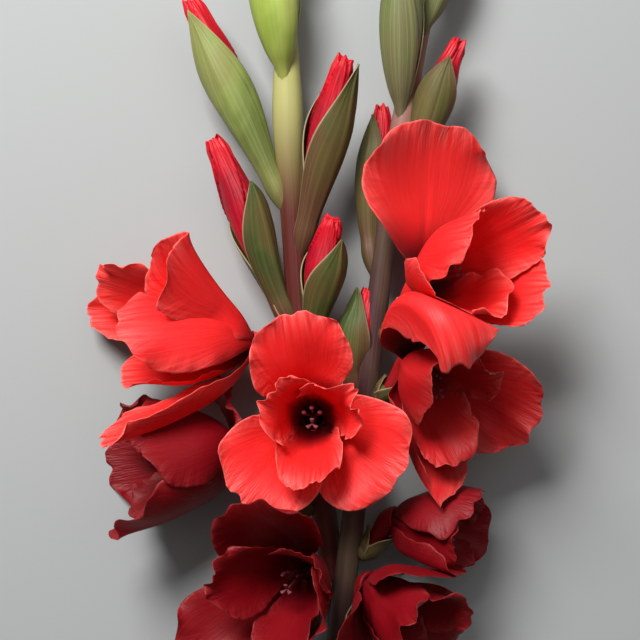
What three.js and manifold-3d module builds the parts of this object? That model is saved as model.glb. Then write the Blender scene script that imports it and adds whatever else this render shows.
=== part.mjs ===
// Two cut gladiolus spikes lying face up side by side, their stems crossing below the flowers.
// Millimetres. +Y runs along the stems to the bud tips, +X is to the right and +Z is up.
// The origin is where the left stem's cut end rests on the surface.
import * as THREE from "three";
import { mergeVertices } from "three/addons/utils/BufferGeometryUtils.js";
import Module from "manifold-3d";

const wasm = await Module();
wasm.setup();

// Driving dimensions
const CLEARANCE = 0.3; // between pieces that touch
const PETAL_THICKNESS = 0.9;
const BRACT_THICKNESS = 0.8;
const LEAF_THICKNESS = 1.2;
const THROAT_RADIUS = 6.5; // where the flower's tube opens into its tepals
const OVARY_LENGTH = 7; // the green foot that the bracts and the flower stand on
const OVARY_RADIUS = 5;
// How far a floret's foot turns from the stem: 0 runs along it, 1 stands square to it
const BUD_LEAN = 0.35;
const BLOOM_LEAN = 0.75;
const DETAIL = 0.12; // facets flatter than this are merged

const UP = new THREE.Vector3(0, 0, 1);
const ALONG = new THREE.Vector3(0, 1, 0);
const RIGHT = new THREE.Vector3(1, 0, 0);

// The six tepals of a flower, by their angle round its mouth from the right: three outer, three inner.
// flare gives the slope away from the flower's axis, in degrees, from the tepal's foot to its tip.
// fold creases a tepal along its midrib, by that many degrees a side.
const OUTER = {
  length: 76,
  halfWidth: 29,
  flare: [58, 20, 45, 75],
  cup: 0.85,
  ruffle: 2.2,
  waves: 1.5,
  roll: 0.07,
  nest: 0.7,
  fold: 0,
};
const INNER = {
  length: 66,
  halfWidth: 21,
  flare: [42, 10, 12, 34],
  cup: 1,
  ruffle: 2,
  waves: 1.8,
  roll: 0.14,
  nest: -0.3,
  fold: 0,
};
const TEPALS = [
  { around: 90, ...OUTER },
  { around: 210, ...OUTER },
  { around: 330, ...OUTER },
  { around: 30, ...INNER },
  { around: 150, ...INNER },
  { around: 270, ...INNER },
];

// Three stamens and the style, by where their ends are from the throat
const STAMENS = [
  { across: -4, rise: 2.5, reach: 22, girth: 1.5 },
  { across: 0, rise: 5, reach: 24, girth: 1.5 },
  { across: 4, rise: 2.5, reach: 22, girth: 1.5 },
  { across: 0.5, rise: -1, reach: 30, girth: 1.2 },
];

const material = (color, roughness) => new THREE.MeshStandardMaterial({ color, roughness, metalness: 0 });
const PETAL_RED = material(0xd8141a, 0.5);
const BUD_RED = material(0xb80f22, 0.45);
const STAMEN_PINK = material(0xc8788a, 0.6);
const BRACT_GREEN = material(0x6f7d3c, 0.55);
const STEM_GREEN = material(0x7a7048, 0.5);
const LEAF_GREEN = material(0x4d6b34, 0.5);

const spikes = [
  {
    name: "left",
    path: [
      [0.4, -9, 6.3], [-1.3, 15, 6.3], [-4, 40, 6.6], [-9.8, 102, 8.2],
      [-18.6, 180, 12.5], [-30.4, 262, 18.5], [-38, 325, 22], [-43, 385, 24],
      [-46.5, 455, 24], [-46.5, 520, 19], [-40, 572, 9], [-31, 622, 1.6],
    ],
    radius: [6.8, 6.6, 1.8],
    blooms: [
      {
        name: "front",
        foot: 266,
        bract: 0.62,
        throat: [-33, 294, 43],
        faces: [-0.03, -0.03, 1],
        roll: 0,
        columns: 4,
        tepals: {
          0: { around: 100, length: 62, halfWidth: 27, flare: [58, 20, 56, 88] },
          1: { around: 226, length: 59, halfWidth: 28, flare: [58, 20, 56, 88] },
          2: { around: 328, length: 58, halfWidth: 31, flare: [58, 20, 56, 88] },
          3: { around: 34, length: 52, flare: [42, 8, 0, 46] },
          4: { around: 146, length: 53, flare: [42, 8, 0, 46] },
          5: { around: 267, length: 57, halfWidth: 19, flare: [44, 14, 0, 48] },
        },
      },
      {
        name: "upper_side",
        foot: 304,
        bract: 0.7,
        throat: [-68, 331, 31],
        faces: [-0.95, -0.02, 0.28],
        roll: -30,
        columns: 4,
        tepals: {
          0: { around: 88, length: 74, halfWidth: 33, flare: [60, 50, 48, 62], cup: 1.2, fold: 48 },
          1: { around: 192, length: 94, flare: [60, 34, 16, 0] },
          2: { around: 314, length: 98, halfWidth: 25, flare: [60, 28, 14, 20] },
          3: { around: 60, length: 82, halfWidth: 30, flare: [48, 32, -8, -14] },
          4: { length: 88, halfWidth: 23, flare: [44, 28, 14, 24] },
          5: { length: 72, halfWidth: 23, flare: [44, 16, -5, 0] },
        },
      },
      {
        name: "lower_side",
        foot: 244,
        bract: 0.7,
        throat: [-74, 276, 25],
        faces: [-0.88, -0.06, 0.34],
        roll: -20,
        columns: 3,
        tepals: {
          0: { length: 52, halfWidth: 20, flare: [60, 70, 90, 90] },
          1: { length: 78, flare: [58, 50, 30, 10] },
          2: { around: 308, length: 84, flare: [58, 24, 6, 4] },
          3: { around: 50, length: 68, halfWidth: 33, flare: [50, 34, 2, 0], cup: 0.7 },
        },
      },
      {
        name: "lowest",
        foot: 202,
        bract: 0.7,
        throat: [-38, 213, 37],
        faces: [-0.3, -0.12, 0.92],
        roll: 10,
        columns: 3,
        tepals: {
          0: { flare: [58, 20, 30, 40] },
          2: { length: 66, flare: [58, 14, 0, 10] },
        },
      },
    ],
    buds: [
      {
        name: "1",
        foot: 334,
        leans: [0.24, 0.92, 0.34],
        length: 68,
        swell: 10.5,
        outerBract: [0.62, -0.2, 0.72],
        bract: 0.86,
      },
      {
        name: "2",
        foot: 346,
        leans: [-0.43, 0.88, 0.1],
        length: 104,
        swell: 10.5,
        outerBract: [0.7, 0.1, 0.66],
        bract: 0.72,
      },
      {
        name: "3",
        foot: 386,
        leans: [0.27, 0.92, 0.3],
        length: 100,
        swell: 10.5,
        outerBract: [0.72, -0.2, 0.62],
        bract: 0.97,
      },
      {
        name: "4",
        foot: 410,
        leans: [-0.46, 0.88, 0.02],
        length: 116,
        swell: 10.5,
        outerBract: [-0.3, -0.2, 0.9],
        bract: 0.93,
      },
    ],
    tips: [
      { foot: 476, leans: [-0.1, 0.95, 0.16], length: 90, swell: 14 },
      { foot: 506, leans: [-0.36, 0.92, 0.02], length: 76, swell: 9.5 },
      { foot: 530, leans: [0.34, 0.92, 0.06], length: 64, swell: 8 },
      { foot: 555, leans: [-0.2, 0.95, 0.04], length: 54, swell: 6.5 },
      { foot: 579, leans: [0.42, 0.9, 0.02], length: 44, swell: 5.4 },
      { foot: 600, leans: [0.05, 0.97, -0.06], length: 38, swell: 4.6 },
    ],
    leaf: { foot: 42, side: [0.75, 0, 0.65], length: 150, lean: [0.25, 0.95, -0.02] },
  },
  {
    name: "right",
    path: [
      [-38.2, -9, 5.9], [-36.8, 15, 5.9], [-34, 45, 8], [-28.3, 102, 16],
      [-19.2, 180, 26.3], [-10.8, 251, 30], [-5.2, 303, 31], [0.8, 354, 31],
      [13.4, 442, 28], [26, 504, 21], [40, 556, 11], [66, 626, 1.6],
    ],
    radius: [6.4, 6.0, 1.8],
    blooms: [
      {
        name: "upper_side",
        foot: 336,
        bract: 0.7,
        throat: [24, 362, 45],
        faces: [0.54, 0.22, 0.8],
        roll: 0,
        columns: 4,
        tepals: {
          0: { around: 88, length: 80, halfWidth: 45, flare: [62, 84, 72, 62], cup: 0.55 },
          1: { around: 215, length: 60, halfWidth: 25, flare: [58, 20, 20, 30] },
          2: { around: 336, length: 68, halfWidth: 26, flare: [58, 26, 18, 10] },
          3: { around: 36, length: 76, halfWidth: 24, flare: [42, 20, 12, 22] },
          4: { around: 134, length: 74, halfWidth: 24, flare: [42, 26, -6, -10] },
          5: { around: 292, length: 56, halfWidth: 23, flare: [44, 20, 8, 16] },
        },
      },
      {
        name: "middle_side",
        foot: 304,
        bract: 0.46,
        throat: [19, 320, 43],
        faces: [0.38, -0.42, 0.82],
        roll: 12,
        columns: 4,
        tepals: {
          0: { around: 100, length: 118, halfWidth: 40, flare: [72, 100, -8, -104], cup: 2 },
          1: { around: 246, length: 82, halfWidth: 30, flare: [58, 26, 50, 60] },
          2: { around: 336, length: 68, flare: [62, 40, 40, 44] },
          3: { length: 54, halfWidth: 20 },
          4: { around: 142, length: 60, halfWidth: 24, flare: [44, 26, 8, 4] },
          5: { length: 58, halfWidth: 20, flare: [44, 16, 20, 40] },
        },
      },
      {
        name: "lower_side",
        foot: 222,
        bract: 0.6,
        throat: [12, 239, 32.5],
        faces: [0.9, -0.22, 0.36],
        roll: 25,
        columns: 3,
        tepals: {
          0: { length: 52, halfWidth: 24, flare: [56, 24, 12, 10] },
          1: { length: 56, halfWidth: 24, flare: [56, 24, 16, 24] },
          2: { length: 52, halfWidth: 24, flare: [56, 24, 16, 20] },
          3: { length: 46, halfWidth: 18 },
          4: { length: 46, halfWidth: 18 },
          5: { length: 46, halfWidth: 18 },
        },
      },
      {
        name: "lowest",
        foot: 184,
        bract: 0.46,
        throat: [-2, 206, 42],
        faces: [0.55, -0.42, 0.7],
        roll: 0,
        columns: 3,
        tepals: {
          0: { length: 58, halfWidth: 25 },
          1: { length: 66, halfWidth: 27 },
          2: { length: 53, halfWidth: 25 },
          3: { length: 56 },
          5: { around: 267, length: 57 },
        },
      },
    ],
    buds: [
      {
        name: "1",
        foot: 306,
        leans: [0.02, 0.97, -0.02],
        length: 54,
        swell: 9,
        outerBract: [-0.75, 0, 0.55],
        bract: 1.02,
      },
      {
        name: "2",
        foot: 374,
        leans: [0, 0.98, -0.12],
        length: 84,
        swell: 8.6,
        outerBract: [-0.55, 0, 0.75],
        bract: 0.93,
      },
      {
        name: "3",
        foot: 424,
        leans: [0.44, 0.88, 0.06],
        length: 74,
        swell: 9,
        outerBract: [-0.25, -0.3, 0.9],
        bract: 0.84,
      },
    ],
    tips: [
      { foot: 455, leans: [-0.02, 0.96, 0.2], length: 90, swell: 11.5 },
      { foot: 500, leans: [0.3, 0.93, 0.04], length: 74, swell: 9 },
      { foot: 515, leans: [0.1, 0.98, 0.06], length: 66, swell: 8 },
      { foot: 542, leans: [0.58, 0.8, 0.02], length: 56, swell: 6.5 },
      { foot: 566, leans: [0.2, 0.96, 0.02], length: 48, swell: 5.4 },
      { foot: 592, leans: [0.6, 0.8, -0.07], length: 42, swell: 4.6 },
    ],
    leaf: { foot: 46, side: [-0.75, 0, 0.65], length: 145, lean: [-0.22, 0.96, -0.05] },
  },
];

// Where two flowers lean on each other their tepals part along a plane.
// The first flower stays on the side that the plane faces.
const PARTINGS = [
  {
    first: "left_front",
    second: "left_upper_side",
    through: [-62, 314, 52.5],
    faces: [0.6, -0.5, 0.5],
  },
  {
    first: "left_front",
    second: "left_lower_side",
    through: [-66, 282, 54.5],
    faces: [0.7, 0.1, 0.7],
  },
  {
    first: "left_front",
    second: "right_middle_side",
    through: [10, 306, 66.5],
    faces: [-0.8, -0.3, 0.4],
  },
  {
    first: "left_upper_side",
    second: "left_lower_side",
    through: [-104, 300, 48],
    faces: [0.1, 0.7, 0.7],
  },
  {
    first: "right_upper_side",
    second: "right_middle_side",
    through: [42, 347, 52.5],
    faces: [0.42, 0.91, 0],
  },
  {
    first: "right_middle_side",
    second: "right_lower_side",
    through: [30, 268, 48],
    faces: [0, 0.7, 0.7],
  },
  {
    first: "right_lower_side",
    second: "right_lowest",
    through: [30, 218, 42.5],
    faces: [0.2, 0.95, 0],
  },
];

// Small vector helpers
const vector = ([x, y, z]) => new THREE.Vector3(x, y, z);
const degrees = THREE.MathUtils.degToRad;
const lerp = THREE.MathUtils.lerp;
const smooth = (x) => THREE.MathUtils.smoothstep(x, 0, 1);
const plus = (point, ...terms) => {
  const sum = point.clone();
  for (const [direction, length] of terms) sum.addScaledVector(direction, length);
  return sum;
};
const across = (direction, axis) => plus(direction, [axis, -direction.dot(axis)]).normalize();

// A closed surface as a solid, and back
function solidFrom(geometry) {
  const bare = new THREE.BufferGeometry();
  bare.setAttribute("position", geometry.getAttribute("position"));
  bare.setIndex(geometry.index);
  const merged = mergeVertices(bare, 1e-4);
  return new wasm.Manifold(
    new wasm.Mesh({
      numProp: 3,
      vertProperties: merged.attributes.position.array,
      triVerts: new Uint32Array(merged.index.array),
    }),
  );
}

function geometryFrom(solid) {
  const { numProp, vertProperties, triVerts } = solid.getMesh();
  const positions = [];
  for (let i = 0; i < vertProperties.length; i += numProp) {
    positions.push(...vertProperties.subarray(i, i + 3));
  }
  return surface(positions, [...triVerts]);
}

function surface(positions, index) {
  const geometry = new THREE.BufferGeometry();
  geometry.setAttribute("position", new THREE.Float32BufferAttribute(positions, 3));
  geometry.setIndex(index);
  return geometry;
}

// The largest body of a solid, without the loose scraps that a cut can leave
function wholeOf(solid) {
  const bodies = solid.decompose();
  return bodies.reduce((a, b) => (b.volume() > a.volume() ? b : a));
}

const joined = (solids) => solids.reduce((a, b) => a.add(b));

// A thin shell of even thickness on a curved middle surface. s runs along it and t across it, from -1 to 1.
function blade(middle, rows, columns, thickness) {
  const positions = [];
  const index = [];
  const step = 0.01;
  for (const side of [0.5, -0.5]) {
    for (let j = 0; j <= rows; j += 1) {
      for (let i = 0; i <= columns; i += 1) {
        const s = j / rows;
        const t = (2 * i) / columns - 1;
        const alongS = middle(Math.min(1, s + step), t).sub(middle(Math.max(0, s - step), t));
        const acrossT = middle(s, Math.min(1, t + step)).sub(middle(s, Math.max(-1, t - step)));
        const normal = acrossT.cross(alongS).normalize();
        positions.push(...plus(middle(s, t), [normal, side * thickness]).toArray());
      }
    }
  }
  const width = columns + 1;
  const back = width * (rows + 1);
  for (let j = 0; j < rows; j += 1) {
    for (let i = 0; i < columns; i += 1) {
      const a = j * width + i;
      const [b, c, d] = [a + 1, a + width + 1, a + width];
      index.push(a, b, c, a, c, d, a + back, c + back, b + back, a + back, d + back, c + back);
    }
  }
  const rim = [];
  for (let i = 0; i < columns; i += 1) rim.push([i, i + 1], [rows * width + i + 1, rows * width + i]);
  for (let j = 0; j < rows; j += 1) {
    rim.push([j * width + columns, (j + 1) * width + columns], [(j + 1) * width, j * width]);
  }
  for (const [from, to] of rim) index.push(to, from, from + back, to, from + back, to + back);
  return solidFrom(surface(positions, index));
}

// A solid through rings of points, closed at both ends
function loft(rings, first, last) {
  const sides = rings[0].length;
  const positions = [...rings.flat(), first, last].flatMap((point) => point.toArray());
  const index = [];
  const firstPoint = rings.length * sides;
  const lastRing = (rings.length - 1) * sides;
  for (let i = 0; i < sides; i += 1) {
    const next = (i + 1) % sides;
    for (let j = 0; j < rings.length - 1; j += 1) {
      const [a, b] = [j * sides + i, j * sides + next];
      index.push(a, b, b + sides, a, b + sides, a + sides);
    }
    index.push(firstPoint, next, i, firstPoint + 1, lastRing + i, lastRing + next);
  }
  return solidFrom(surface(positions, index));
}

const ring = (frame, radius, sides, shift = 0) =>
  Array.from({ length: sides }, (_, i) => {
    const angle = ((i + shift) / sides) * 2 * Math.PI;
    const reach = typeof radius === "function" ? radius(angle) : radius;
    return plus(frame.centre, [frame.e1, reach * Math.cos(angle)], [frame.e2, reach * Math.sin(angle)]);
  });

// Stems: a round line through the points of a spike's path, with one radius at its foot, middle and tip

const STEM = { sides: 8, steps: 18, middle: 0.6, taper: 1.4 };

function stemOf(spike) {
  const curve = new THREE.CatmullRomCurve3(spike.path.map(vector), false, "catmullrom", 0.5);
  const [foot, middle, tip] = spike.radius;
  const radiusAt = (u) => {
    if (u < STEM.middle) return lerp(foot, middle, u / STEM.middle);
    return lerp(middle, tip, ((u - STEM.middle) / (1 - STEM.middle)) ** STEM.taper);
  };
  const frameAt = (u) => {
    const along = curve.getTangent(u);
    const e1 = across(RIGHT, along);
    return { centre: curve.getPoint(u), along, e1, e2: along.clone().cross(e1) };
  };
  const atHeight = (height) => {
    const halvings = 30;
    let [low, high] = [0, 1];
    for (let i = 0; i < halvings; i += 1) {
      const u = (low + high) / 2;
      if (curve.getPoint(u).y < height) low = u;
      else high = u;
    }
    return low;
  };
  const solid = (extra) => {
    const stops = Array.from({ length: STEM.steps + 1 }, (_, j) => j / STEM.steps);
    const rings = stops.map((u) => ring(frameAt(u), radiusAt(u) + extra, STEM.sides));
    return loft(rings, curve.getPoint(0), curve.getPoint(1));
  };
  return { radiusAt, frameAt, atHeight, solid };
}

// Where a floret leaves the stem, and the bent line that its foot, bracts and tube follow
const AXIS_REACH = 0.38; // how strongly both ends hold their direction, as a share of the line's span

function axisOf(stem, floret, end, endDirection, lean) {
  const u = stem.atHeight(floret.foot);
  const { centre, along } = stem.frameAt(u);
  const outward = across(end.clone().sub(centre), along);
  const start = plus(centre, [outward, stem.radiusAt(u)]);
  const rise = plus(along.clone().multiplyScalar(1 - lean * lean), [outward, lean]).normalize();
  const reach = start.distanceTo(end) * AXIS_REACH;
  const bends = [plus(start, [rise, reach]), plus(end, [endDirection, -reach])];
  const curve = new THREE.CubicBezierCurve3(start, ...bends, end);
  const side = along.clone().cross(outward).normalize();
  const length = curve.getLength();
  return {
    length,
    frameAt: (distance) => {
      const c = distance / length;
      const kept = THREE.MathUtils.clamp(c, 0, 1);
      const direction = curve.getTangent(kept);
      const centreHere = plus(curve.getPoint(kept), [direction, (c - kept) * length]);
      const e1 = floret.outerBract
        ? across(vector(floret.outerBract), direction)
        : across(side, direction).cross(direction);
      return { centre: centreHere, along: direction, e1, e2: direction.clone().cross(e1) };
    },
  };
}

// Bracts: each wraps part of the way round the floret's axis and narrows to its tip.
// stand is the gap to what it wraps, and gape how much wider it opens at the tip.
const OUTER_BRACT = { centred: 0, stand: 2.3, wrap: 104, gape: 1.5, columns: 4 };
const INNER_BRACT = { centred: Math.PI, stand: 2.1, wrap: 72, gape: 0.5, columns: 3 };
const BRACT_FOOT = { distance: OVARY_LENGTH - 3, sunk: 1.15, free: 0.6 };
const BRACT_OUTLINE = { fullness: 1.7, point: 0.75, narrowest: 0.02 };
const OVARY = { sides: 6, below: 1, narrowing: 0.5 };

function bractMiddle(axis, bodyRadius, { length, centred, stand, wrap, gape }) {
  return (s, t) => {
    const distance = lerp(BRACT_FOOT.distance, length, s);
    const frame = axis.frameAt(distance);
    const narrowed = (1 - s ** BRACT_OUTLINE.fullness) ** BRACT_OUTLINE.point;
    const width = Math.max(BRACT_OUTLINE.narrowest, narrowed);
    const angle = centred + t * degrees(wrap) * width;
    const grown = smooth(distance / OVARY_LENGTH - BRACT_FOOT.free);
    const footRadius = OVARY_RADIUS - BRACT_FOOT.sunk;
    const radius = lerp(footRadius, bodyRadius(distance) + stand, grown) + gape * s ** 4;
    return plus(frame.centre, [frame.e1, radius * Math.cos(angle)], [frame.e2, radius * Math.sin(angle)]);
  };
}

function spatheOf(axis, bodyRadius, length, innerShare, rows) {
  const rings = [0, 1].map((share) => {
    const frame = axis.frameAt(share * OVARY_LENGTH - OVARY.below);
    return ring(frame, OVARY_RADIUS - OVARY.narrowing * (1 - share), OVARY.sides);
  });
  const ends = [-OVARY.below, OVARY_LENGTH - OVARY.below].map((distance) => axis.frameAt(distance).centre);
  const outer = bractMiddle(axis, bodyRadius, { ...OUTER_BRACT, length });
  const inner = bractMiddle(axis, bodyRadius, { ...INNER_BRACT, length: length * innerShare });
  return joined([
    loft(rings, ...ends),
    blade(outer, rows, OUTER_BRACT.columns, BRACT_THICKNESS),
    blade(inner, rows - 1, INNER_BRACT.columns, BRACT_THICKNESS),
  ]);
}

// Open flowers

// A tepal starts a little inside the throat's rim and below it. It is narrow there, widest past its middle
// and round at the end, because its corners are shorter than its middle.
const TEPAL = {
  rows: 4,
  inside: 1.3,
  below: 3,
  footShare: 0.93,
  widest: 0.66,
  shoulder: 1.1,
  endNarrowing: 0.45,
  cornerLoss: 0.2,
  openBy: 5,
  rollBy: 2.5,
  foldBy: 2.5,
  waveGrowth: 1.5,
  waveSlant: 1.3,
  phaseStep: 1.9,
};

// The distance out from the flower's axis, the distance along it and the slope of a tepal's midrib
function midrib({ length, flare: [a, b, c, d], nest }, s) {
  const steps = 20;
  const slope = (x) => {
    const y = 1 - x;
    return degrees(a * y ** 3 + 3 * b * x * y ** 2 + 3 * c * x * x * y + d * x ** 3);
  };
  let [out, forward] = [THROAT_RADIUS - TEPAL.inside + nest, -TEPAL.below];
  for (let i = 0; i < steps; i += 1) {
    const here = slope(((i + 0.5) / steps) * s);
    out += (Math.sin(here) * length * s) / steps;
    forward += (Math.cos(here) * length * s) / steps;
  }
  return { out, forward, slope: slope(s) };
}

function widthShare(s) {
  if (s < TEPAL.widest) return Math.sin((Math.PI / 2) * (s / TEPAL.widest)) ** TEPAL.shoulder;
  return 1 - TEPAL.endNarrowing * ((s - TEPAL.widest) / (1 - TEPAL.widest)) ** 2;
}

function tepalMiddle(mouth, tepal, phase, planes) {
  const angle = degrees(tepal.around + mouth.roll);
  const [cos, sin] = [Math.cos(angle), Math.sin(angle)];
  const radial = plus(mouth.right.clone().multiplyScalar(cos), [mouth.dorsal, sin]);
  const sideways = plus(mouth.right.clone().multiplyScalar(-sin), [mouth.dorsal, cos]);
  return (s, t) => {
    const { out, forward, slope } = midrib(tepal, s * (1 - TEPAL.cornerLoss * s * s * t * t));
    const foot = TEPAL.footShare * midrib(tepal, 0).out;
    const inward = plus(mouth.faces.clone().multiplyScalar(Math.sin(slope)), [radial, -Math.cos(slope)]);
    const half = lerp(foot, tepal.halfWidth, widthShare(s));
    const cupped = Math.max(0.1, Math.cos(slope)) * lerp(1, tepal.cup, s);
    const bend = lerp(1, cupped, smooth(s * TEPAL.openBy)) / out;
    const turn = t * half * bend;
    const swing = Math.sin(2 * Math.PI * tepal.waves * s + phase + TEPAL.waveSlant * t);
    const wave = tepal.ruffle * s ** TEPAL.waveGrowth * t * t * swing;
    const fold = degrees(tepal.fold) * smooth(s * TEPAL.foldBy);
    const [flat, rise] = [Math.sin(turn) / bend, (1 - Math.cos(turn)) / bend];
    const aside = flat * Math.cos(fold) - Math.sign(t) * rise * Math.sin(fold);
    const curled = Math.abs(flat) * Math.sin(fold) + rise * Math.cos(fold);
    const lift = curled + wave + tepal.roll * t * half * smooth(s * TEPAL.rollBy);
    const rib = plus(mouth.throat, [radial, out], [mouth.faces, forward]);
    return planes.reduce(heldClear, plus(rib, [sideways, aside], [inward, lift]));
  };
}

// A point kept on the near side of a plane, eased towards it rather than cut off
function heldClear(point, { through, normal, ease }) {
  const margin = PETAL_THICKNESS / 2;
  const height = point.clone().sub(through).dot(normal) - margin;
  if (height > ease) return point;
  const kept = height < -ease ? 0 : (height + ease) ** 2 / (4 * ease);
  return plus(point, [normal, kept - height]);
}

const SURFACE_EASE = 1.5;
const PARTING_EASE = 5;

function planesFor(name) {
  const planes = [{ through: new THREE.Vector3(), normal: UP, ease: SURFACE_EASE }];
  for (const { first, second, through, faces } of PARTINGS) {
    if (name !== first && name !== second) continue;
    const normal = vector(faces).normalize().multiplyScalar(name === first ? 1 : -1);
    planes.push({ through: plus(vector(through), [normal, CLEARANCE]), normal, ease: PARTING_EASE });
  }
  return planes;
}

// The flower's tube widens from its foot to the throat. It is solid below its floor and open above it.
const TUBE = {
  sides: 7,
  footRadius: 2.5,
  wall: 1.2,
  slimUpTo: 0.15,
  bulge: 0.7,
  floor: 0.6,
  stops: [0.5, 0.8, 1],
  boreFoot: 0.24,
  boreGrowth: 0.4,
};

function tubeRadius(c) {
  const widened = smooth((c - TUBE.slimUpTo) / (1 - TUBE.slimUpTo)) * TUBE.bulge + c * (1 - TUBE.bulge);
  return lerp(TUBE.footRadius, THROAT_RADIUS + TUBE.wall, widened);
}

function bloomOf(axis, mouth, bloom, planes) {
  const foot = (OVARY_LENGTH - OVARY.below + CLEARANCE) / axis.length;
  const outside = [foot, ...TUBE.stops].map((c) => [c, tubeRadius(c)]);
  const down = [...TUBE.stops.slice(1).reverse(), TUBE.floor];
  const inside = down.map((c) => [c, THROAT_RADIUS * (TUBE.boreFoot + TUBE.boreGrowth * c)]);
  const rings = [...outside, ...inside].map(([c, radius]) =>
    ring(axis.frameAt(c * axis.length), radius, TUBE.sides),
  );
  const ends = [foot, TUBE.floor].map((c) => axis.frameAt(c * axis.length).centre);
  const tepals = TEPALS.map((place, i) => {
    const tepal = { ...place, ...bloom.tepals?.[i] };
    const middle = tepalMiddle(mouth, tepal, i * TEPAL.phaseStep + mouth.throat.x, planes);
    return blade(middle, TEPAL.rows, bloom.columns, PETAL_THICKNESS);
  });
  return joined([loft(rings, ...ends), ...tepals]);
}

// Three stamens and a style, standing together in the throat under the dorsal tepal.
// Each follows the tube, spreading as it goes, and thickens into its anther or stigma past the throat.
const ROD = { sides: 3, radius: 0.7, middle: 0.8, spread: [0, 0.1, 0.3], blunt: 1 };

function stamensOf(axis, mouth) {
  const foot = TUBE.floor * axis.length + 2 * CLEARANCE;
  const rods = STAMENS.map(({ across: aside, rise, reach, girth }) => {
    const spread = (point, share) =>
      plus(point, [mouth.dorsal, rise * share], [mouth.right, aside * share]);
    const end = spread(plus(mouth.throat, [mouth.faces, reach]), 1);
    const frames = [foot, ROD.middle * axis.length, axis.length].map(axis.frameAt);
    const rings = frames.map((frame, i) => {
      return ring({ ...frame, centre: spread(frame.centre, ROD.spread[i]) }, ROD.radius, ROD.sides);
    });
    rings.push(ring({ ...frames[2], centre: plus(end, [mouth.faces, -ROD.blunt]) }, girth, ROD.sides));
    return loft(rings, frames[0].centre, end);
  });
  return joined(rods);
}

// Buds: furled tepals, seen as a spindle with a spiral of low folds. Widths are shares of the bud's swell.
const BUD = {
  sides: 8,
  stops: [0.25, 0.42, 0.6, 0.78, 0.92, 0.99],
  footWidth: 0.3,
  widest: 0.6,
  narrowing: 0.45,
  thinnest: 0.24,
  body: 0.92,
  folds: 3,
  foldDepth: 0.06,
  foldTurn: 7,
  lastRing: 0.55,
};

const budRadius = (bud) => (distance) => {
  const c = distance / bud.length;
  const swelling = Math.min(1, BUD.footWidth + (1 - BUD.footWidth) * smooth(c / BUD.widest));
  const drawnIn = 1 - BUD.narrowing * smooth((c - BUD.widest) / (1 - BUD.widest));
  return bud.swell * Math.max(BUD.thinnest, swelling * drawnIn);
};

function budOf(axis, bud) {
  const radius = budRadius(bud);
  const foot = (OVARY_LENGTH - OVARY.below + CLEARANCE) / axis.length;
  const stops = [foot, ...BUD.stops];
  const rings = stops.map((c, i) => {
    const width = radius(c * bud.length) * (i === stops.length - 1 ? BUD.lastRing : 1);
    const fold = (angle) => BUD.foldDepth * Math.cos(BUD.folds * angle - BUD.foldTurn * c);
    const folds = (angle) => width * (BUD.body + fold(angle));
    return ring(axis.frameAt(c * axis.length), folds, BUD.sides);
  });
  return loft(rings, axis.frameAt(foot * axis.length).centre, axis.frameAt(axis.length).centre);
}

// A green bud near the tip: still wrapped in its two bracts, and one piece with the stem.
// One bract laps over the other along both sides.
const GREEN_BUD = {
  sides: 6,
  stops: [0, 0.25, 0.55, 0.88],
  ends: 0.05,
  thinnest: 0.25,
  blunt: 0.75,
  lean: 0.1,
  lap: 0.08,
};

function greenBudOf(axis, bud) {
  const radius = (c) => {
    const round = Math.sin(Math.PI * (GREEN_BUD.ends + c * (1 - 2 * GREEN_BUD.ends)));
    return bud.swell * Math.max(GREEN_BUD.thinnest, round ** GREEN_BUD.blunt);
  };
  const rings = GREEN_BUD.stops.map((c) => {
    const lapped = (angle) => {
      const over = angle > Math.PI ? GREEN_BUD.lap : 0;
      return radius(c) * (1 + GREEN_BUD.lean * Math.cos(angle) + over);
    };
    return ring(axis.frameAt(c * axis.length), lapped, GREEN_BUD.sides);
  });
  return loft(rings, axis.frameAt(0).centre, axis.frameAt(axis.length).centre);
}

// A leaf: its foot wraps the stem as a sheath, and its blade opens flat and leaves the stem.
// Shares are of the leaf's length.
const LEAF = {
  rows: 7,
  columns: 6,
  sheathEnd: 0.3,
  opensFrom: 0.18,
  opensOver: 0.4,
  standOff: 1.6,
  flatCurl: 34,
  sheathWrap: 2.2,
  halfWidth: 10,
  slimBy: 0.45,
  pointFrom: 0.4,
  point: 1.5,
  narrowest: 0.6,
};

function leafOf(stem, leaf) {
  const outward = vector(leaf.side).normalize();
  const lean = vector(leaf.lean).normalize();
  const clasp = stem.radiusAt(stem.atHeight(leaf.foot)) + LEAF.standOff;
  const middle = (s, t) => {
    const u = stem.atHeight(leaf.foot + Math.min(s, LEAF.sheathEnd) * leaf.length);
    const { centre, along } = stem.frameAt(u);
    const away = across(outward, along);
    const side = along.clone().cross(away);
    const open = smooth((s - LEAF.opensFrom) / LEAF.opensOver);
    const curl = lerp(clasp, LEAF.flatCurl, open * open);
    const pointed = 1 - smooth((s - LEAF.pointFrom) / (1 - LEAF.pointFrom)) ** LEAF.point;
    const half = lerp(LEAF.sheathWrap * clasp, LEAF.halfWidth, smooth(s / LEAF.slimBy)) * pointed;
    const past = Math.max(0, s - LEAF.sheathEnd) * leaf.length;
    const turn = (t * Math.max(LEAF.narrowest, half)) / curl;
    const reach = clasp - curl * (1 - Math.cos(turn));
    return plus(centre, [lean, past], [away, reach], [side, curl * Math.sin(turn)]);
  };
  return blade(middle, LEAF.rows, LEAF.columns, LEAF_THICKNESS);
}

// Assembly

const INNER_SHARE = { bloom: 0.84, bud: 0.8 }; // the inner bract's length as a share of the outer one's
const BRACT_ROWS = { bloom: 3, bud: 4 };

const gladiolus = new THREE.Group();
gladiolus.name = "gladiolus";

function add(name, solid, finish) {
  const above = wholeOf(solid.trimByPlane([0, 0, 1], 0));
  const mesh = new THREE.Mesh(geometryFrom(above.simplify(DETAIL)), finish);
  mesh.name = name;
  gladiolus.add(mesh);
}

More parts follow.
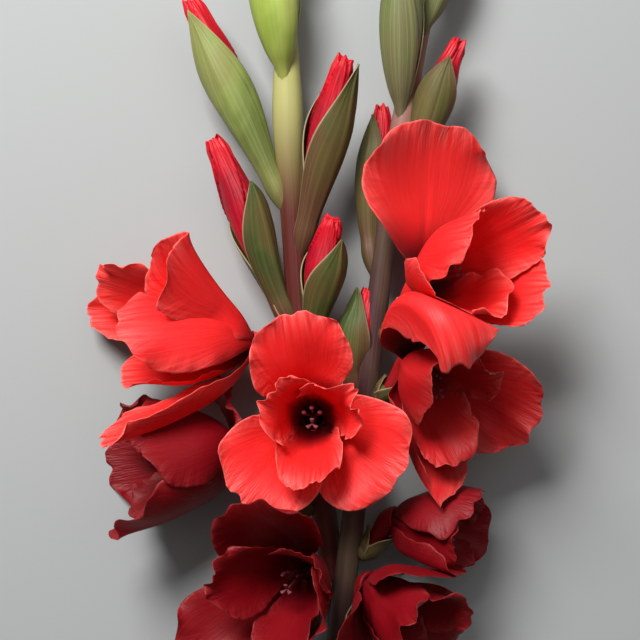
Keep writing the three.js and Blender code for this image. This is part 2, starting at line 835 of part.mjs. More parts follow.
function budAxis(stem, bud) {
  const lean = vector(bud.leans).normalize();
  const foot = stem.frameAt(stem.atHeight(bud.foot)).centre;
  return axisOf(stem, bud, plus(foot, [lean, bud.length]), lean, BUD_LEAN);
}

for (const spike of spikes) {
  const stem = stemOf(spike);
  const stemRoom = stem.solid(CLEARANCE);
  const tips = spike.tips.map((bud) => greenBudOf(budAxis(stem, bud), bud));
  add(`${spike.name}_stem`, joined([stem.solid(0), ...tips]), STEM_GREEN);
  add(`${spike.name}_leaf`, leafOf(stem, spike.leaf).subtract(stemRoom), LEAF_GREEN);
  for (const bloom of spike.blooms) {
    const name = `${spike.name}_${bloom.name}`;
    const faces = vector(bloom.faces).normalize();
    const throat = vector(bloom.throat);
    const dorsal = across(ALONG, faces);
    const mouth = { throat, faces, dorsal, right: dorsal.clone().cross(faces), roll: bloom.roll };
    const axis = axisOf(stem, bloom, throat, faces, BLOOM_LEAN);
    const tubeAt = (distance) => tubeRadius(distance / axis.length);
    const spathe = spatheOf(axis, tubeAt, axis.length * bloom.bract, INNER_SHARE.bloom, BRACT_ROWS.bloom);
    add(`${name}_spathe`, spathe.subtract(stemRoom), BRACT_GREEN);
    add(`${name}_bloom`, bloomOf(axis, mouth, bloom, planesFor(name)).subtract(stemRoom), PETAL_RED);
    add(`${name}_stamens`, stamensOf(axis, mouth), STAMEN_PINK);
  }
  for (const bud of spike.buds) {
    const name = `${spike.name}_bud_${bud.name}`;
    const axis = budAxis(stem, bud);
    const spathe = spatheOf(axis, budRadius(bud), bud.length * bud.bract, INNER_SHARE.bud, BRACT_ROWS.bud);
    add(`${name}_spathe`, spathe.subtract(stemRoom), BRACT_GREEN);
    add(name, budOf(axis, bud).subtract(stemRoom), BUD_RED);
  }
}

export default gladiolus;
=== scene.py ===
import math
import random
import bpy
import numpy as np
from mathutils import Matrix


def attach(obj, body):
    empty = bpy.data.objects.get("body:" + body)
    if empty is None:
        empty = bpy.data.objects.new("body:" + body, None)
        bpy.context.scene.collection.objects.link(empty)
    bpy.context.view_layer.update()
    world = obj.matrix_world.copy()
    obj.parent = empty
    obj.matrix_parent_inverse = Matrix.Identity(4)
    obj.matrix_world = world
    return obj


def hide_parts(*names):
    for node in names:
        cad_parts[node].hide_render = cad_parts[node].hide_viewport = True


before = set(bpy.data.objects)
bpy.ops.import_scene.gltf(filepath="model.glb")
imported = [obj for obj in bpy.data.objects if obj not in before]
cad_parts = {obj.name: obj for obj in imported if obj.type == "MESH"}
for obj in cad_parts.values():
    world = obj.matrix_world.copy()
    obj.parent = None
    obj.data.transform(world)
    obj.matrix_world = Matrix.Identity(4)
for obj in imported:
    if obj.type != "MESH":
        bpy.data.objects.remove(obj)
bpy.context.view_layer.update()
bpy.ops.object.select_all(action="DESELECT")

# Two cut gladiolus spikes lying face up. Sizes below are in millimetres and become metres in the meshes.
# +Y runs along the stems to the bud tips, +X is to the right and +Z is up.
mm = 0.001
up = np.array([0.0, 0.0, 1.0])
alongStems = np.array([0.0, 1.0, 0.0])
toRight = np.array([1.0, 0.0, 0.0])


# Small vector helpers

def lerp(a, b, share):
    return a + (b - a) * share


def smooth(x):
    x = np.clip(x, 0, 1)
    return x * x * (3 - 2 * x)


def unit(v):
    v = np.asarray(v, float)
    return v / np.linalg.norm(v, axis=-1, keepdims=True)


def dot(a, b):
    return np.sum(a * b, axis=-1, keepdims=True)


def squareTo(direction, axis):              # the part of a direction that is square to an axis
    return unit(direction - axis * dot(direction, axis))


def column(values):
    return np.asarray(values, float).reshape(-1, 1)


# Meshes: a grid primitive is added, then its points are laid on a surface given by a formula

def finishPiece(piece, name, parts=()):
    bpy.ops.object.select_all(action="DESELECT")
    for part in parts:
        part.select_set(True)
    piece.select_set(True)
    bpy.context.view_layer.objects.active = piece
    if parts:
        bpy.ops.object.join()
    bpy.ops.object.shade_smooth()
    bpy.ops.object.select_all(action="DESELECT")
    piece.name = name
    piece.data.name = name
    return piece


sheetForm = {"lowest": 0.05, "mergeWithin": 1e-6, "rimWidth": 0.3, "rimSteps": 10}


def layGrid(rows, columns, place, materials, closed=False, thickness=0, rimShare=1.0):
    bpy.ops.object.select_all(action="DESELECT")
    bpy.ops.mesh.primitive_grid_add(x_subdivisions=columns, y_subdivisions=rows, size=2)
    sheet = bpy.context.object
    mesh = sheet.data
    flat = np.zeros(len(mesh.vertices) * 3)
    mesh.vertices.foreach_get("co", flat)
    flat = flat.reshape(-1, 3)
    s, t = (flat[:, 1] + 1) / 2, flat[:, 0]     # s runs along the sheet from 0 to 1, t across it from -1 to 1
    points = place(s, t)
    points[:, 2] = np.maximum(points[:, 2], thickness / 2 + sheetForm["lowest"])
    mesh.vertices.foreach_set("co", (points * mm).astype(np.float32).ravel())
    corner = np.zeros(len(mesh.loops), np.int32)
    mesh.loops.foreach_get("vertex_index", corner)
    while mesh.uv_layers:
        mesh.uv_layers.remove(mesh.uv_layers[0])
    layer = mesh.uv_layers.new(name="UVMap")
    layer.data.foreach_set("uv", np.stack([(t[corner] + 1) / 2, s[corner]], 1).astype(np.float32).ravel())
    mesh.update()
    for material in materials:
        mesh.materials.append(material)
    if closed:
        bpy.ops.object.mode_set(mode="EDIT")
        bpy.ops.mesh.select_all(action="SELECT")
        bpy.ops.mesh.remove_doubles(threshold=sheetForm["mergeWithin"])
        bpy.ops.mesh.normals_make_consistent(inside=False)
        bpy.ops.object.mode_set(mode="OBJECT")
    if thickness:
        wall = sheet.modifiers.new("wall", "SOLIDIFY")
        if rimShare < 1:                    # the wall thins towards the sheet's rim
            margin = sheet.vertex_groups.new(name="margin")
            fromRim = np.minimum(1 - np.abs(t), 1 - s)
            share = lerp(rimShare, 1, smooth(fromRim / sheetForm["rimWidth"]))
            steps = np.round(share * sheetForm["rimSteps"])
            for step in range(sheetForm["rimSteps"] + 1):
                chosen = [int(i) for i in np.flatnonzero(steps == step)]
                margin.add(chosen, step / sheetForm["rimSteps"], "REPLACE")
            wall.vertex_group = "margin"
        wall.thickness = thickness * mm
        wall.offset = 0
        wall.material_offset = 1 if len(materials) > 1 else 0
        bpy.ops.object.modifier_apply(modifier="wall")
    return sheet


# Shader maths: a Signal is one socket of a material's node tree

class Signal:
    def __init__(self, tree, socket=None):
        self.tree, self.socket = tree, socket

    def node(self, kind, settings=None, sockets=None, out=0):
        made = self.tree.nodes.new(kind)
        for key, value in (settings or {}).items():
            setattr(made, key, value)
        self.feed(made.inputs, sockets or {})
        return Signal(self.tree, made.outputs[out])

    def feed(self, inputs, values):         # signals, colours and plain values into a node's sockets
        for key, value in values.items():
            if isinstance(value, Signal):
                self.tree.links.new(value.socket, inputs[key])
            elif isinstance(value, tuple) and len(value) == 3 and inputs[key].type == "RGBA":
                inputs[key].default_value = (*value, 1)
            else:
                inputs[key].default_value = value

    def at(self, out):                      # another output of the same node
        return Signal(self.tree, self.socket.node.outputs[out])

    def maths(self, operation, *values, clamp=False):
        settings = {"operation": operation, "use_clamp": clamp}
        return self.node("ShaderNodeMath", settings, dict(enumerate(values)))

    def __add__(self, other): return self.maths("ADD", self, other)
    def __radd__(self, other): return self.maths("ADD", other, self)
    def __sub__(self, other): return self.maths("SUBTRACT", self, other)
    def __rsub__(self, other): return self.maths("SUBTRACT", other, self)
    def __mul__(self, other): return self.maths("MULTIPLY", self, other)
    def __rmul__(self, other): return self.maths("MULTIPLY", other, self)
    def __truediv__(self, other): return self.maths("DIVIDE", self, other)
    def __rtruediv__(self, other): return self.maths("DIVIDE", other, self)
    def __pow__(self, other): return self.maths("POWER", self, other)
    def __rpow__(self, other): return self.maths("POWER", other, self)
    def __abs__(self): return self.maths("ABSOLUTE", self)

    def sine(self): return self.maths("SINE", self)
    def clamped(self): return self.maths("ADD", self, 0.0, clamp=True)

    def ease(self, low, high):              # 0 below low, 1 above high, smooth between
        return self.node("ShaderNodeMapRange", {"interpolation_type": "SMOOTHSTEP"},
                         {0: self, 1: low, 2: high, 3: 0.0, 4: 1.0})

    def blend(self, share, first, second):  # a colour between two
        return self.node("ShaderNodeMix", {"data_type": "RGBA"}, {0: share, 6: first, 7: second}, out=2)

    def mix(self, first, second):           # a colour between two, by this signal
        return self.blend(self, first, second)

    def noise(self, where, scale, detail=3.0, stretch=(1, 1, 1)):
        spread = self.node("ShaderNodeMapping", {}, {0: where, 3: stretch})
        return self.node("ShaderNodeTexNoise", {}, {"Vector": spread, "Scale": scale, "Detail": detail})

    def lines(self, across, along, seed, detail=2.0):       # noise drawn out in lines, close across them
        place = self.node("ShaderNodeCombineXYZ", {}, {0: across, 1: along, 2: seed})
        return self.noise(place, 1.0, detail)


def newMaterial(name, paint):
    material = bpy.data.materials.new(name)
    material.use_nodes = True
    tree = material.node_tree
    shader = tree.nodes["Principled BSDF"]
    start = Signal(tree)
    uv = start.node("ShaderNodeUVMap", {"uv_map": "UVMap"})
    split = start.node("ShaderNodeSeparateXYZ", {}, {0: uv})
    where = start.node("ShaderNodeTexCoord", {}, {}, out=3)
    start.feed(shader.inputs, paint(start, split, split.at(1), where))
    return material


# Skins: a paint function gives a material's sockets from the piece's UV map and its place in the object

def surface(start, look, colour, fine, height):
    rough = look["rough"]
    if "uneven" in look:                    # the fine grain makes the shine a little uneven
        rough = fine * look["uneven"] + rough
    sizes = {"Strength": look.get("strength", 0.5), "Distance": look["relief"], "Height": height}
    bump = start.node("ShaderNodeBump", {}, sizes)
    return {"Base Color": colour, "Roughness": rough, "Normal": bump, **look.get("sockets", {})}


def flesh(weight, tint, depth, shine):      # light goes a little way into petals and bracts
    return {"Subsurface Weight": weight, "Subsurface Radius": tint, "Subsurface Scale": depth,
            "Specular IOR Level": shine}


petalLook = {
    # the near-black throat colour is painted shade in the flower's hollow
    "throat": (0.016, 0.000, 0.002), "deep": (0.22, 0.000, 0.003), "scarlet": (0.80, 0.010, 0.012),
    # the coral is a painted highlight for light on and through the thin petal edges
    "bright": (0.95, 0.038, 0.032), "coralHighlight": (0.98, 0.150, 0.130), "back": (0.90, 0.034, 0.034),
    # the last dark red is painted shade for the flowers that lie in shade
    "backBase": (0.38, 0.012, 0.016), "shadeRed": (0.135, 0.000, 0.004),
    "blotches": 38.0, "grain": 420.0, "fanFrom": 0.22, "pleats": 11,
    "streaks": (13, 1.6), "veins": (44, 2.5),               # how close across the petal and along it
    "rough": 0.40, "uneven": 0.16, "relief": 0.0009, "strength": 0.6,
    "sockets": flesh(0.22, (1.0, 0.10, 0.06), 0.0025, 0.22),
}
petalShades = {"unshaded": 0.0, "halfShaded": 0.5, "shaded": 0.9}           # how far painted shade deepens a flower's red; the lower flowers are painted as if they lay in shade


def petalPaint(isFace, shadeShare):
    def paint(start, u, v, where):
        look = petalLook
        side = (u - 0.5) * 2
        reach = abs(v)
        blotch = start.noise(where, look["blotches"])
        fine = start.noise(where, look["grain"])
        fan = side / (look["fanFrom"] + reach)      # lines that spread from the petal's foot
        across, along = look["streaks"]
        streak = start.lines(fan * across, reach * along, 0.0, detail=4.0)
        across, along = look["veins"]
        vein = start.lines(fan * across, reach * along, 3.0)
        edge = start.maths("MAXIMUM", abs(side) ** 5, reach ** 12)
        margin = start.maths("MAXIMUM", abs(side) ** 2.6, reach ** 5)
        roundRim = start.maths("ARCTAN2", side * 0.7, v - 0.55)
        pleat = start.lines(roundRim * look["pleats"], edge, 7.0)
        tone = (blotch * 0.9 + streak * 0.7 - 0.42).clamped()
        # painted highlight: coral along the margins and streaks, and a pale rim at the very edge, for light
        # on and through the thin petal edges
        highlightShare = margin.ease(0.15, 0.95) * streak.ease(0.25, 0.75) * 0.7
        highlightShare = (highlightShare + edge.ease(0.75, 1.0) * 0.5).clamped()
        if isFace:
            colour = highlightShare.mix(tone.mix(look["scarlet"], look["bright"]), look["coralHighlight"])
            # the petal's foot turns deeper red, and the near-black throat colour over it is painted shade in
            # the flower's hollow
            colour = v.ease(0.12, 0.42).mix(look["deep"], colour)
            colour = v.ease(-0.02, 0.24).mix(look["throat"], colour)
        else:
            colour = (highlightShare * 0.8).mix(tone.mix(look["scarlet"], look["back"]), look["coralHighlight"])
            colour = v.ease(0.0, 0.26).mix(look["backBase"], colour)
        colour = (vein.ease(0.5, 0.72) * 0.16).mix(colour, look["deep"])
        # painted shade: the red is pulled towards the dark red by the skin's share of painted shade
        colour = start.blend(shadeShare, colour, look["shadeRed"])
        height = vein * 0.25 + streak * 0.4 + pleat * margin.ease(0.1, 0.8) * 1.6 + fine * 0.1
        return surface(start, look, colour, fine, height)
    return paint


budLook = {"shade": (0.20, 0.000, 0.010), "red": (0.55, 0.004, 0.018), "tip": (0.76, 0.010, 0.018),
           "foot": (0.45, 0.20, 0.10), "vein": (0.16, 0.0, 0.01),
           "blotches": 70.0, "grain": 500.0, "veins": 150,
           "rough": 0.36, "uneven": 0.2, "relief": 0.0005,
           "sockets": flesh(0.15, (1.0, 0.15, 0.1), 0.002, 0.3)}


def budPaint(start, u, v, where):
    blotch = start.noise(where, budLook["blotches"])
    fine = start.noise(where, budLook["grain"])
    veins = ((u * budLook["veins"] + blotch * 4).sine() * 0.5 + 0.5) ** 4
    colour = (blotch * 1.6 - 0.3).clamped().mix(budLook["shade"], budLook["red"])
    colour = (v.ease(0.6, 1.0) * 0.6).mix(colour, budLook["tip"])
    colour = v.ease(0.25, 0.0).mix(colour, budLook["foot"])
    colour = (veins * 0.35).mix(colour, budLook["vein"])
    return surface(start, budLook, colour, fine, veins * -0.4 + fine * 0.2)


anyBract = {"grain": 450.0, "ribs": 60, "rough": 0.40, "uneven": 0.2, "relief": 0.0004}
youngBract = {**anyBract, "blotches": 40.0, "stretch": 0.5, "ribSeed": 5.0, "ribbed": 0.2, "flushed": 1.0,
              "flushFoot": (0.5, 0.0), "flushBlotch": (0.5, 0.66), "flushShares": (0.5, 0.35, 0.0),
              "rib": (0.46, 0.52, 0.22), "edge": (0.56, 0.50, 0.30),
              "sockets": flesh(0.1, (0.6, 1.0, 0.3), 0.001, 0.25)}
bractLooks = {
    "grown": {**anyBract, "blotches": 34.0, "stretch": 0.6, "ribSeed": 0.0, "ribbed": 0.18, "flushed": 0.85,
              "flushFoot": (0.60, 0.10), "flushBlotch": (0.40, 0.58), "flushShares": (0.75, 0.6, 0.35),
              "rib": (0.28, 0.30, 0.12), "edge": (0.50, 0.42, 0.24),
              "dark": (0.046, 0.070, 0.016), "light": (0.135, 0.155, 0.036), "flush": (0.105, 0.028, 0.022),
              "sockets": flesh(0.1, (0.6, 1.0, 0.3), 0.001, 0.2)},
    "young": {**youngBract, "dark": (0.12, 0.16, 0.035), "light": (0.27, 0.32, 0.08),
              "flush": (0.13, 0.06, 0.035)},
    "left": {**youngBract, "dark": (0.27, 0.36, 0.05), "light": (0.44, 0.53, 0.12),
             "flush": (0.30, 0.24, 0.07)},
    "right": {**youngBract, "dark": (0.085, 0.11, 0.035), "light": (0.16, 0.18, 0.06),
              "flush": (0.13, 0.065, 0.055)},
}


def bractPaint(look):
    def paint(start, u, v, where):
        side = abs((u - 0.5) * 2)
        blotch = start.noise(where, look["blotches"], stretch=(1, look["stretch"], 1))
        fine = start.noise(where, look["grain"])
        ribs = start.lines(u * look["ribs"], v * 0.8, look["ribSeed"])
        atFoot, inBlotch, atSide = look["flushShares"]
        flush = v.ease(*look["flushFoot"]) * atFoot + blotch.ease(*look["flushBlotch"]) * inBlotch
        flush = (flush + side.ease(0.45, 0.95) * atSide).clamped() * look["flushed"]
        colour = flush.mix(blotch.ease(0.35, 0.65).mix(look["dark"], look["light"]), look["flush"])
        colour = (ribs.ease(0.45, 0.7) * look["ribbed"]).mix(colour, look["rib"])
        colour = (side.ease(0.91, 0.99) * 0.6).mix(colour, look["edge"])
        return surface(start, look, colour, fine, ribs * 0.5 + fine * 0.25)
    return paint


stemLook = {"foot": (0.12, 0.17, 0.04), "blotch": (0.15, 0.14, 0.05), "rib": (0.34, 0.17, 0.12),
            "blotches": 60.0, "grain": 500.0, "ribs": 40,
            "rough": 0.42, "uneven": 0.2, "relief": 0.0004, "sockets": {"Specular IOR Level": 0.2}}
stemColours = {                             # low among the open flowers, high among the buds
    "left": {"low": (0.088, 0.014, 0.011), "high": (0.38, 0.36, 0.13)},
    "right": {"low": (0.058, 0.026, 0.026), "high": (0.26, 0.12, 0.095)},
}


def stemPaint(low, high):
    def paint(start, u, v, where):
        blotch = start.noise(where, stemLook["blotches"], stretch=(1, 0.25, 1))
        fine = start.noise(where, stemLook["grain"], stretch=(1, 0.2, 1))
        ribs = start.lines(u * stemLook["ribs"], v * 3, 0.0)
        colour = v.ease(0.65, 0.74).mix(low, high)
        colour = v.ease(0.30, 0.12).mix(colour, stemLook["foot"])
        colour = (blotch.ease(0.45, 0.65) * 0.22).mix(colour, stemLook["blotch"])
        colour = (ribs.ease(0.45, 0.75) * 0.12).mix(colour, stemLook["rib"])
        return surface(start, stemLook, colour, fine, ribs * 0.5 + fine * 0.3)
    return paint


leafLook = {"dark": (0.05, 0.12, 0.025), "light": (0.12, 0.22, 0.05), "rib": (0.22, 0.34, 0.12),
            "blotches": 40.0, "grain": 450.0, "ribs": 120,
            "rough": 0.36, "uneven": 0.2, "relief": 0.0006, "strength": 0.6}


def leafPaint(start, u, v, where):
    blotch = start.noise(where, leafLook["blotches"], stretch=(1, 0.3, 1))
    fine = start.noise(where, leafLook["grain"], stretch=(1, 0.2, 1))
    ribs = ((u * leafLook["ribs"]).sine() * 0.5 + 0.5) ** 2
    colour = blotch.ease(0.35, 0.65).mix(leafLook["dark"], leafLook["light"])
    colour = (ribs * 0.4).mix(colour, leafLook["rib"])
    return surface(start, leafLook, colour, fine, ribs + fine * 0.2)


# The stamens' own dusky pink is deepened here as painted shade from the throat they sit in.
stamenLook = {"dark": (0.13, 0.018, 0.03), "light": (0.24, 0.05, 0.07), "grain": 700.0,
              "rough": 0.6, "relief": 0.0002}


def stamenPaint(start, u, v, where):
    fine = start.noise(where, stamenLook["grain"])
    return surface(start, stamenLook, fine.mix(stamenLook["dark"], stamenLook["light"]), fine, fine)


petalSkins = {}
# one pair of petal materials for each share of painted shade
for key, shadeShare in petalShades.items():
    petalSkins[key] = [newMaterial(key + "_petal_back", petalPaint(False, shadeShare)),
                       newMaterial(key + "_petal_face", petalPaint(True, shadeShare))]
bractSkins = {key: newMaterial(key + "_bract_green", bractPaint(look)) for key, look in bractLooks.items()}
stemSkins = {key: newMaterial(key + "_stem_skin", stemPaint(**pair)) for key, pair in stemColours.items()}
budRed = newMaterial("bud_red", budPaint)
leafGreen = newMaterial("leaf_green", leafPaint)
stamenShadedPink = newMaterial("stamen_shaded_pink", stamenPaint)
print("materials made")


# The lines that everything follows

lineForm = {"thinsFrom": 0.6, "thinning": 1.4, "bend": 0.38, "steps": 200, "halvings": 30}


class Stem:
    def __init__(self, spike):
        self.points = np.array(spike["path"], float)
        self.radii = spike["radius"]

    def piece(self, u):                     # the curve of the stretch that each place is on, and where on it
        points = self.points
        x = np.clip(np.atleast_1d(np.asarray(u, float)), 0, 1) * (len(points) - 1)
        i = np.minimum(np.floor(x).astype(int), len(points) - 2)
        padded = np.vstack([2 * points[0] - points[1], points, 2 * points[-1] - points[-2]])
        before, a, b, after = padded[i], padded[i + 1], padded[i + 2], padded[i + 3]
        start, end = (b - before) / 2, (after - a) / 2
        return a, start, -3 * a + 3 * b - 2 * start - end, 2 * a - 2 * b + start + end, column(x - i)

    def point(self, u):
        a, start, square, cube, w = self.piece(u)
        return a + start * w + square * w**2 + cube * w**3

    def heading(self, u):
        _, start, square, cube, w = self.piece(u)
        return unit(start + 2 * square * w + 3 * cube * w**2)

    def radius(self, u):
        foot, middle, tip = self.radii
        thinsFrom = lineForm["thinsFrom"]
        u = np.atleast_1d(np.asarray(u, float))
        past = np.clip((u - thinsFrom) / (1 - thinsFrom), 0, 1)**lineForm["thinning"]
        return np.where(u < thinsFrom, lerp(foot, middle, u / thinsFrom), lerp(middle, tip, past))

    def frame(self, u):
        heading = self.heading(u)
        first = squareTo(toRight, heading)
        return self.point(u), heading, first, np.cross(heading, first)

    def atHeight(self, height):             # the share of the stem at which its Y is that height
        height = np.atleast_1d(np.asarray(height, float))
        low, high = np.zeros_like(height), np.ones_like(height)
        for _ in range(lineForm["halvings"]):
            middle = (low + high) / 2
            below = self.point(middle)[:, 1] < height
            low, high = np.where(below, middle, low), np.where(below, high, middle)
        return low


class Floret:                               # the bent line that a floret's foot, bracts and tube follow
    def __init__(self, stem, floret, end, endHeading, lean):
        u = stem.atHeight(floret["foot"])
        centre, along, _, _ = (part[0] for part in stem.frame(u))
        outward = squareTo(end - centre, along)
        start = centre + outward * stem.radius(u)[0]
        rise = unit(along * (1 - lean * lean) + outward * lean)
        reach = np.linalg.norm(end - start) * lineForm["bend"]
        self.points = [start, start + rise * reach, end - endHeading * reach, end]
        self.side = unit(np.cross(along, outward))
        self.outer = np.array(floret["outerBract"], float) if "outerBract" in floret else None
        steps = self.point(np.linspace(0, 1, lineForm["steps"]))
        self.length = float(np.sum(np.linalg.norm(np.diff(steps, axis=0), axis=1)))

    def point(self, c):
        a, b, d, e = self.points
        c = column(c)
        return a * (1 - c)**3 + 3 * b * c * (1 - c)**2 + 3 * d * c * c * (1 - c) + e * c**3

    def heading(self, c):
        a, b, d, e = self.points
        c = column(c)
        return unit((b - a) * (1 - c)**2 + 2 * (d - b) * c * (1 - c) + (e - d) * c * c)

    def frame(self, distance):
        c = np.atleast_1d(np.asarray(distance, float)) / self.length
        kept = np.clip(c, 0, 1)
        heading = self.heading(kept)
        centre = self.point(kept) + heading * column((c - kept) * self.length)
        if self.outer is None:
            first = np.cross(squareTo(self.side, heading), heading)
        else:
            first = squareTo(self.outer, heading)
        return centre, heading, first, np.cross(heading, first)

    def around(self, distance, angle, radius):      # a point round the line
        centre, _, first, second = self.frame(distance)
        return onRing(centre, first, second, angle, radius)


def onRing(centre, first, second, angle, radius, flat=1.0):
    return centre + first * column(radius * np.cos(angle)) + second * column(flat * radius * np.sin(angle))


def closedRound(line, profile, rows, sides, materials, wobble=None):
    # a closed body round a line; profile gives the distance and radius for each share of the way
    def place(s, t):
        distance, radius = profile(s)
        angle = (t + 1) * math.pi
        if wobble:
            distance, radius = wobble(distance, radius, angle, s)
        return line(distance, angle, radius)
    return layGrid(rows, sides, place, materials, closed=True)


# The two spikes: the stem's route, the open flowers, the coloured buds and the green ones near the tip

outer = {"length": 76, "halfWidth": 29, "flare": (58, 20, 45, 75), "cup": 0.85, "ruffle": 2.2, "waves": 1.5,
         "roll": 0.07, "nest": 0.7, "frill": 1.0, "fold": 0}
inner = {"length": 66, "halfWidth": 21, "flare": (42, 10, 12, 34), "cup": 1, "ruffle": 2, "waves": 1.8,
         "roll": 0.14, "nest": -0.3, "frill": 1.3, "fold": 0}
tepalPlaces = [{"around": 90, **outer}, {"around": 210, **outer}, {"around": 330, **outer},
               {"around": 30, **inner}, {"around": 150, **inner}, {"around": 270, **inner}]

leftSpike = {
    "path": [(0.4, -9, 6.3), (-1.3, 15, 6.3), (-4, 40, 6.6), (-9.8, 102, 8.2), (-18.6, 180, 12.5),
             (-30.4, 262, 18.5), (-38, 325, 22), (-43, 385, 24), (-46.5, 455, 24), (-46.5, 520, 19),
             (-40, 572, 9), (-31, 622, 1.6)],
    "radius": (6.8, 6.6, 1.8),
    "fuller": {"at": 456, "over": 34, "by": 0.45},
    "blooms": [
        {"name": "front", "foot": 266, "bract": 0.62, "throat": (-33, 294, 43),
         "faces": (-0.03, -0.03, 1), "roll": 0, "grid": (66, 50),
         "tepals": {
             0: {"around": 100, "length": 62, "halfWidth": 27, "flare": (58, 20, 56, 88)},
             1: {"around": 226, "length": 59, "halfWidth": 28, "flare": (58, 20, 56, 88)},
             2: {"around": 328, "length": 58, "halfWidth": 31, "flare": (58, 20, 56, 88)},
             3: {"around": 34, "length": 52, "flare": (42, 8, 0, 46), "frill": 2.0},
             4: {"around": 146, "length": 53, "flare": (42, 8, 0, 46), "frill": 2.0},
             5: {"around": 267, "length": 57, "halfWidth": 19, "flare": (44, 14, 0, 48), "frill": 2.0}}},
        {"name": "upper_side", "foot": 304, "bract": 0.7, "throat": (-68, 331, 31),
         "faces": (-0.95, -0.02, 0.28), "roll": -30, "grid": (66, 50),
         "tepals": {
             0: {"around": 88, "length": 74, "halfWidth": 33, "flare": (60, 50, 48, 62), "cup": 1.2,
                 "fold": 48},
             1: {"around": 192, "length": 94, "flare": (60, 34, 16, 0)},
             2: {"around": 314, "length": 98, "halfWidth": 25, "flare": (60, 28, 14, 20)},
             3: {"around": 60, "length": 82, "halfWidth": 30, "flare": (48, 32, -8, -14)},
             4: {"length": 88, "halfWidth": 23, "flare": (44, 28, 14, 24)},
             5: {"length": 72, "halfWidth": 23, "flare": (44, 16, -5, 0)}}},
        # painted shade: this flower and the lowest one wear the fully shaded skin
        {"name": "lower_side", "skin": "shaded",
         "foot": 244, "bract": 0.7, "throat": (-74, 276, 25),
         "faces": (-0.88, -0.06, 0.34), "roll": -20, "grid": (48, 36),
         "tepals": {
             0: {"length": 52, "halfWidth": 20, "flare": (60, 70, 90, 90)},
             1: {"length": 78, "flare": (58, 50, 30, 10)},
             2: {"around": 308, "length": 84, "flare": (58, 24, 6, 4)},
             3: {"around": 50, "length": 68, "halfWidth": 33, "flare": (50, 34, 2, 0), "cup": 0.7}}},
        {"name": "lowest", "skin": "shaded",
         "foot": 202, "bract": 0.7, "throat": (-38, 213, 37),
         "faces": (-0.3, -0.12, 0.92), "roll": 10, "grid": (48, 36),
         "tepals": {0: {"flare": (58, 20, 30, 40)}, 2: {"length": 66, "flare": (58, 14, 0, 10)}}},
    ],
    "buds": [
        {"name": "1", "foot": 334, "leans": (0.24, 0.92, 0.34), "length": 68, "swell": 10.5,
         "outerBract": (0.62, -0.2, 0.72), "bract": 0.86},
        {"name": "2", "foot": 346, "leans": (-0.43, 0.88, 0.1), "length": 104, "swell": 10.5,
         "outerBract": (0.7, 0.1, 0.66), "bract": 0.72},
        {"name": "3", "foot": 386, "leans": (0.27, 0.92, 0.3), "length": 100, "swell": 10.5,
         "outerBract": (0.72, -0.2, 0.62), "bract": 0.97},
        {"name": "4", "foot": 410, "leans": (-0.46, 0.88, 0.02), "length": 116, "swell": 10.5,
         "outerBract": (-0.3, -0.2, 0.9), "bract": 0.93, "skin": "young"},
    ],
    "tips": [
        {"foot": 476, "leans": (-0.1, 0.95, 0.16), "length": 90, "swell": 14},
        {"foot": 506, "leans": (-0.36, 0.92, 0.02), "length": 76, "swell": 9.5},
        {"foot": 530, "leans": (0.34, 0.92, 0.06), "length": 64, "swell": 8},
        {"foot": 555, "leans": (-0.2, 0.95, 0.04), "length": 54, "swell": 6.5},
        {"foot": 579, "leans": (0.42, 0.9, 0.02), "length": 44, "swell": 5.4},
        {"foot": 600, "leans": (0.05, 0.97, -0.06), "length": 38, "swell": 4.6},
    ],
    "leaf": {"foot": 42, "side": (0.75, 0, 0.65), "length": 150, "lean": (0.25, 0.95, -0.02)},
}
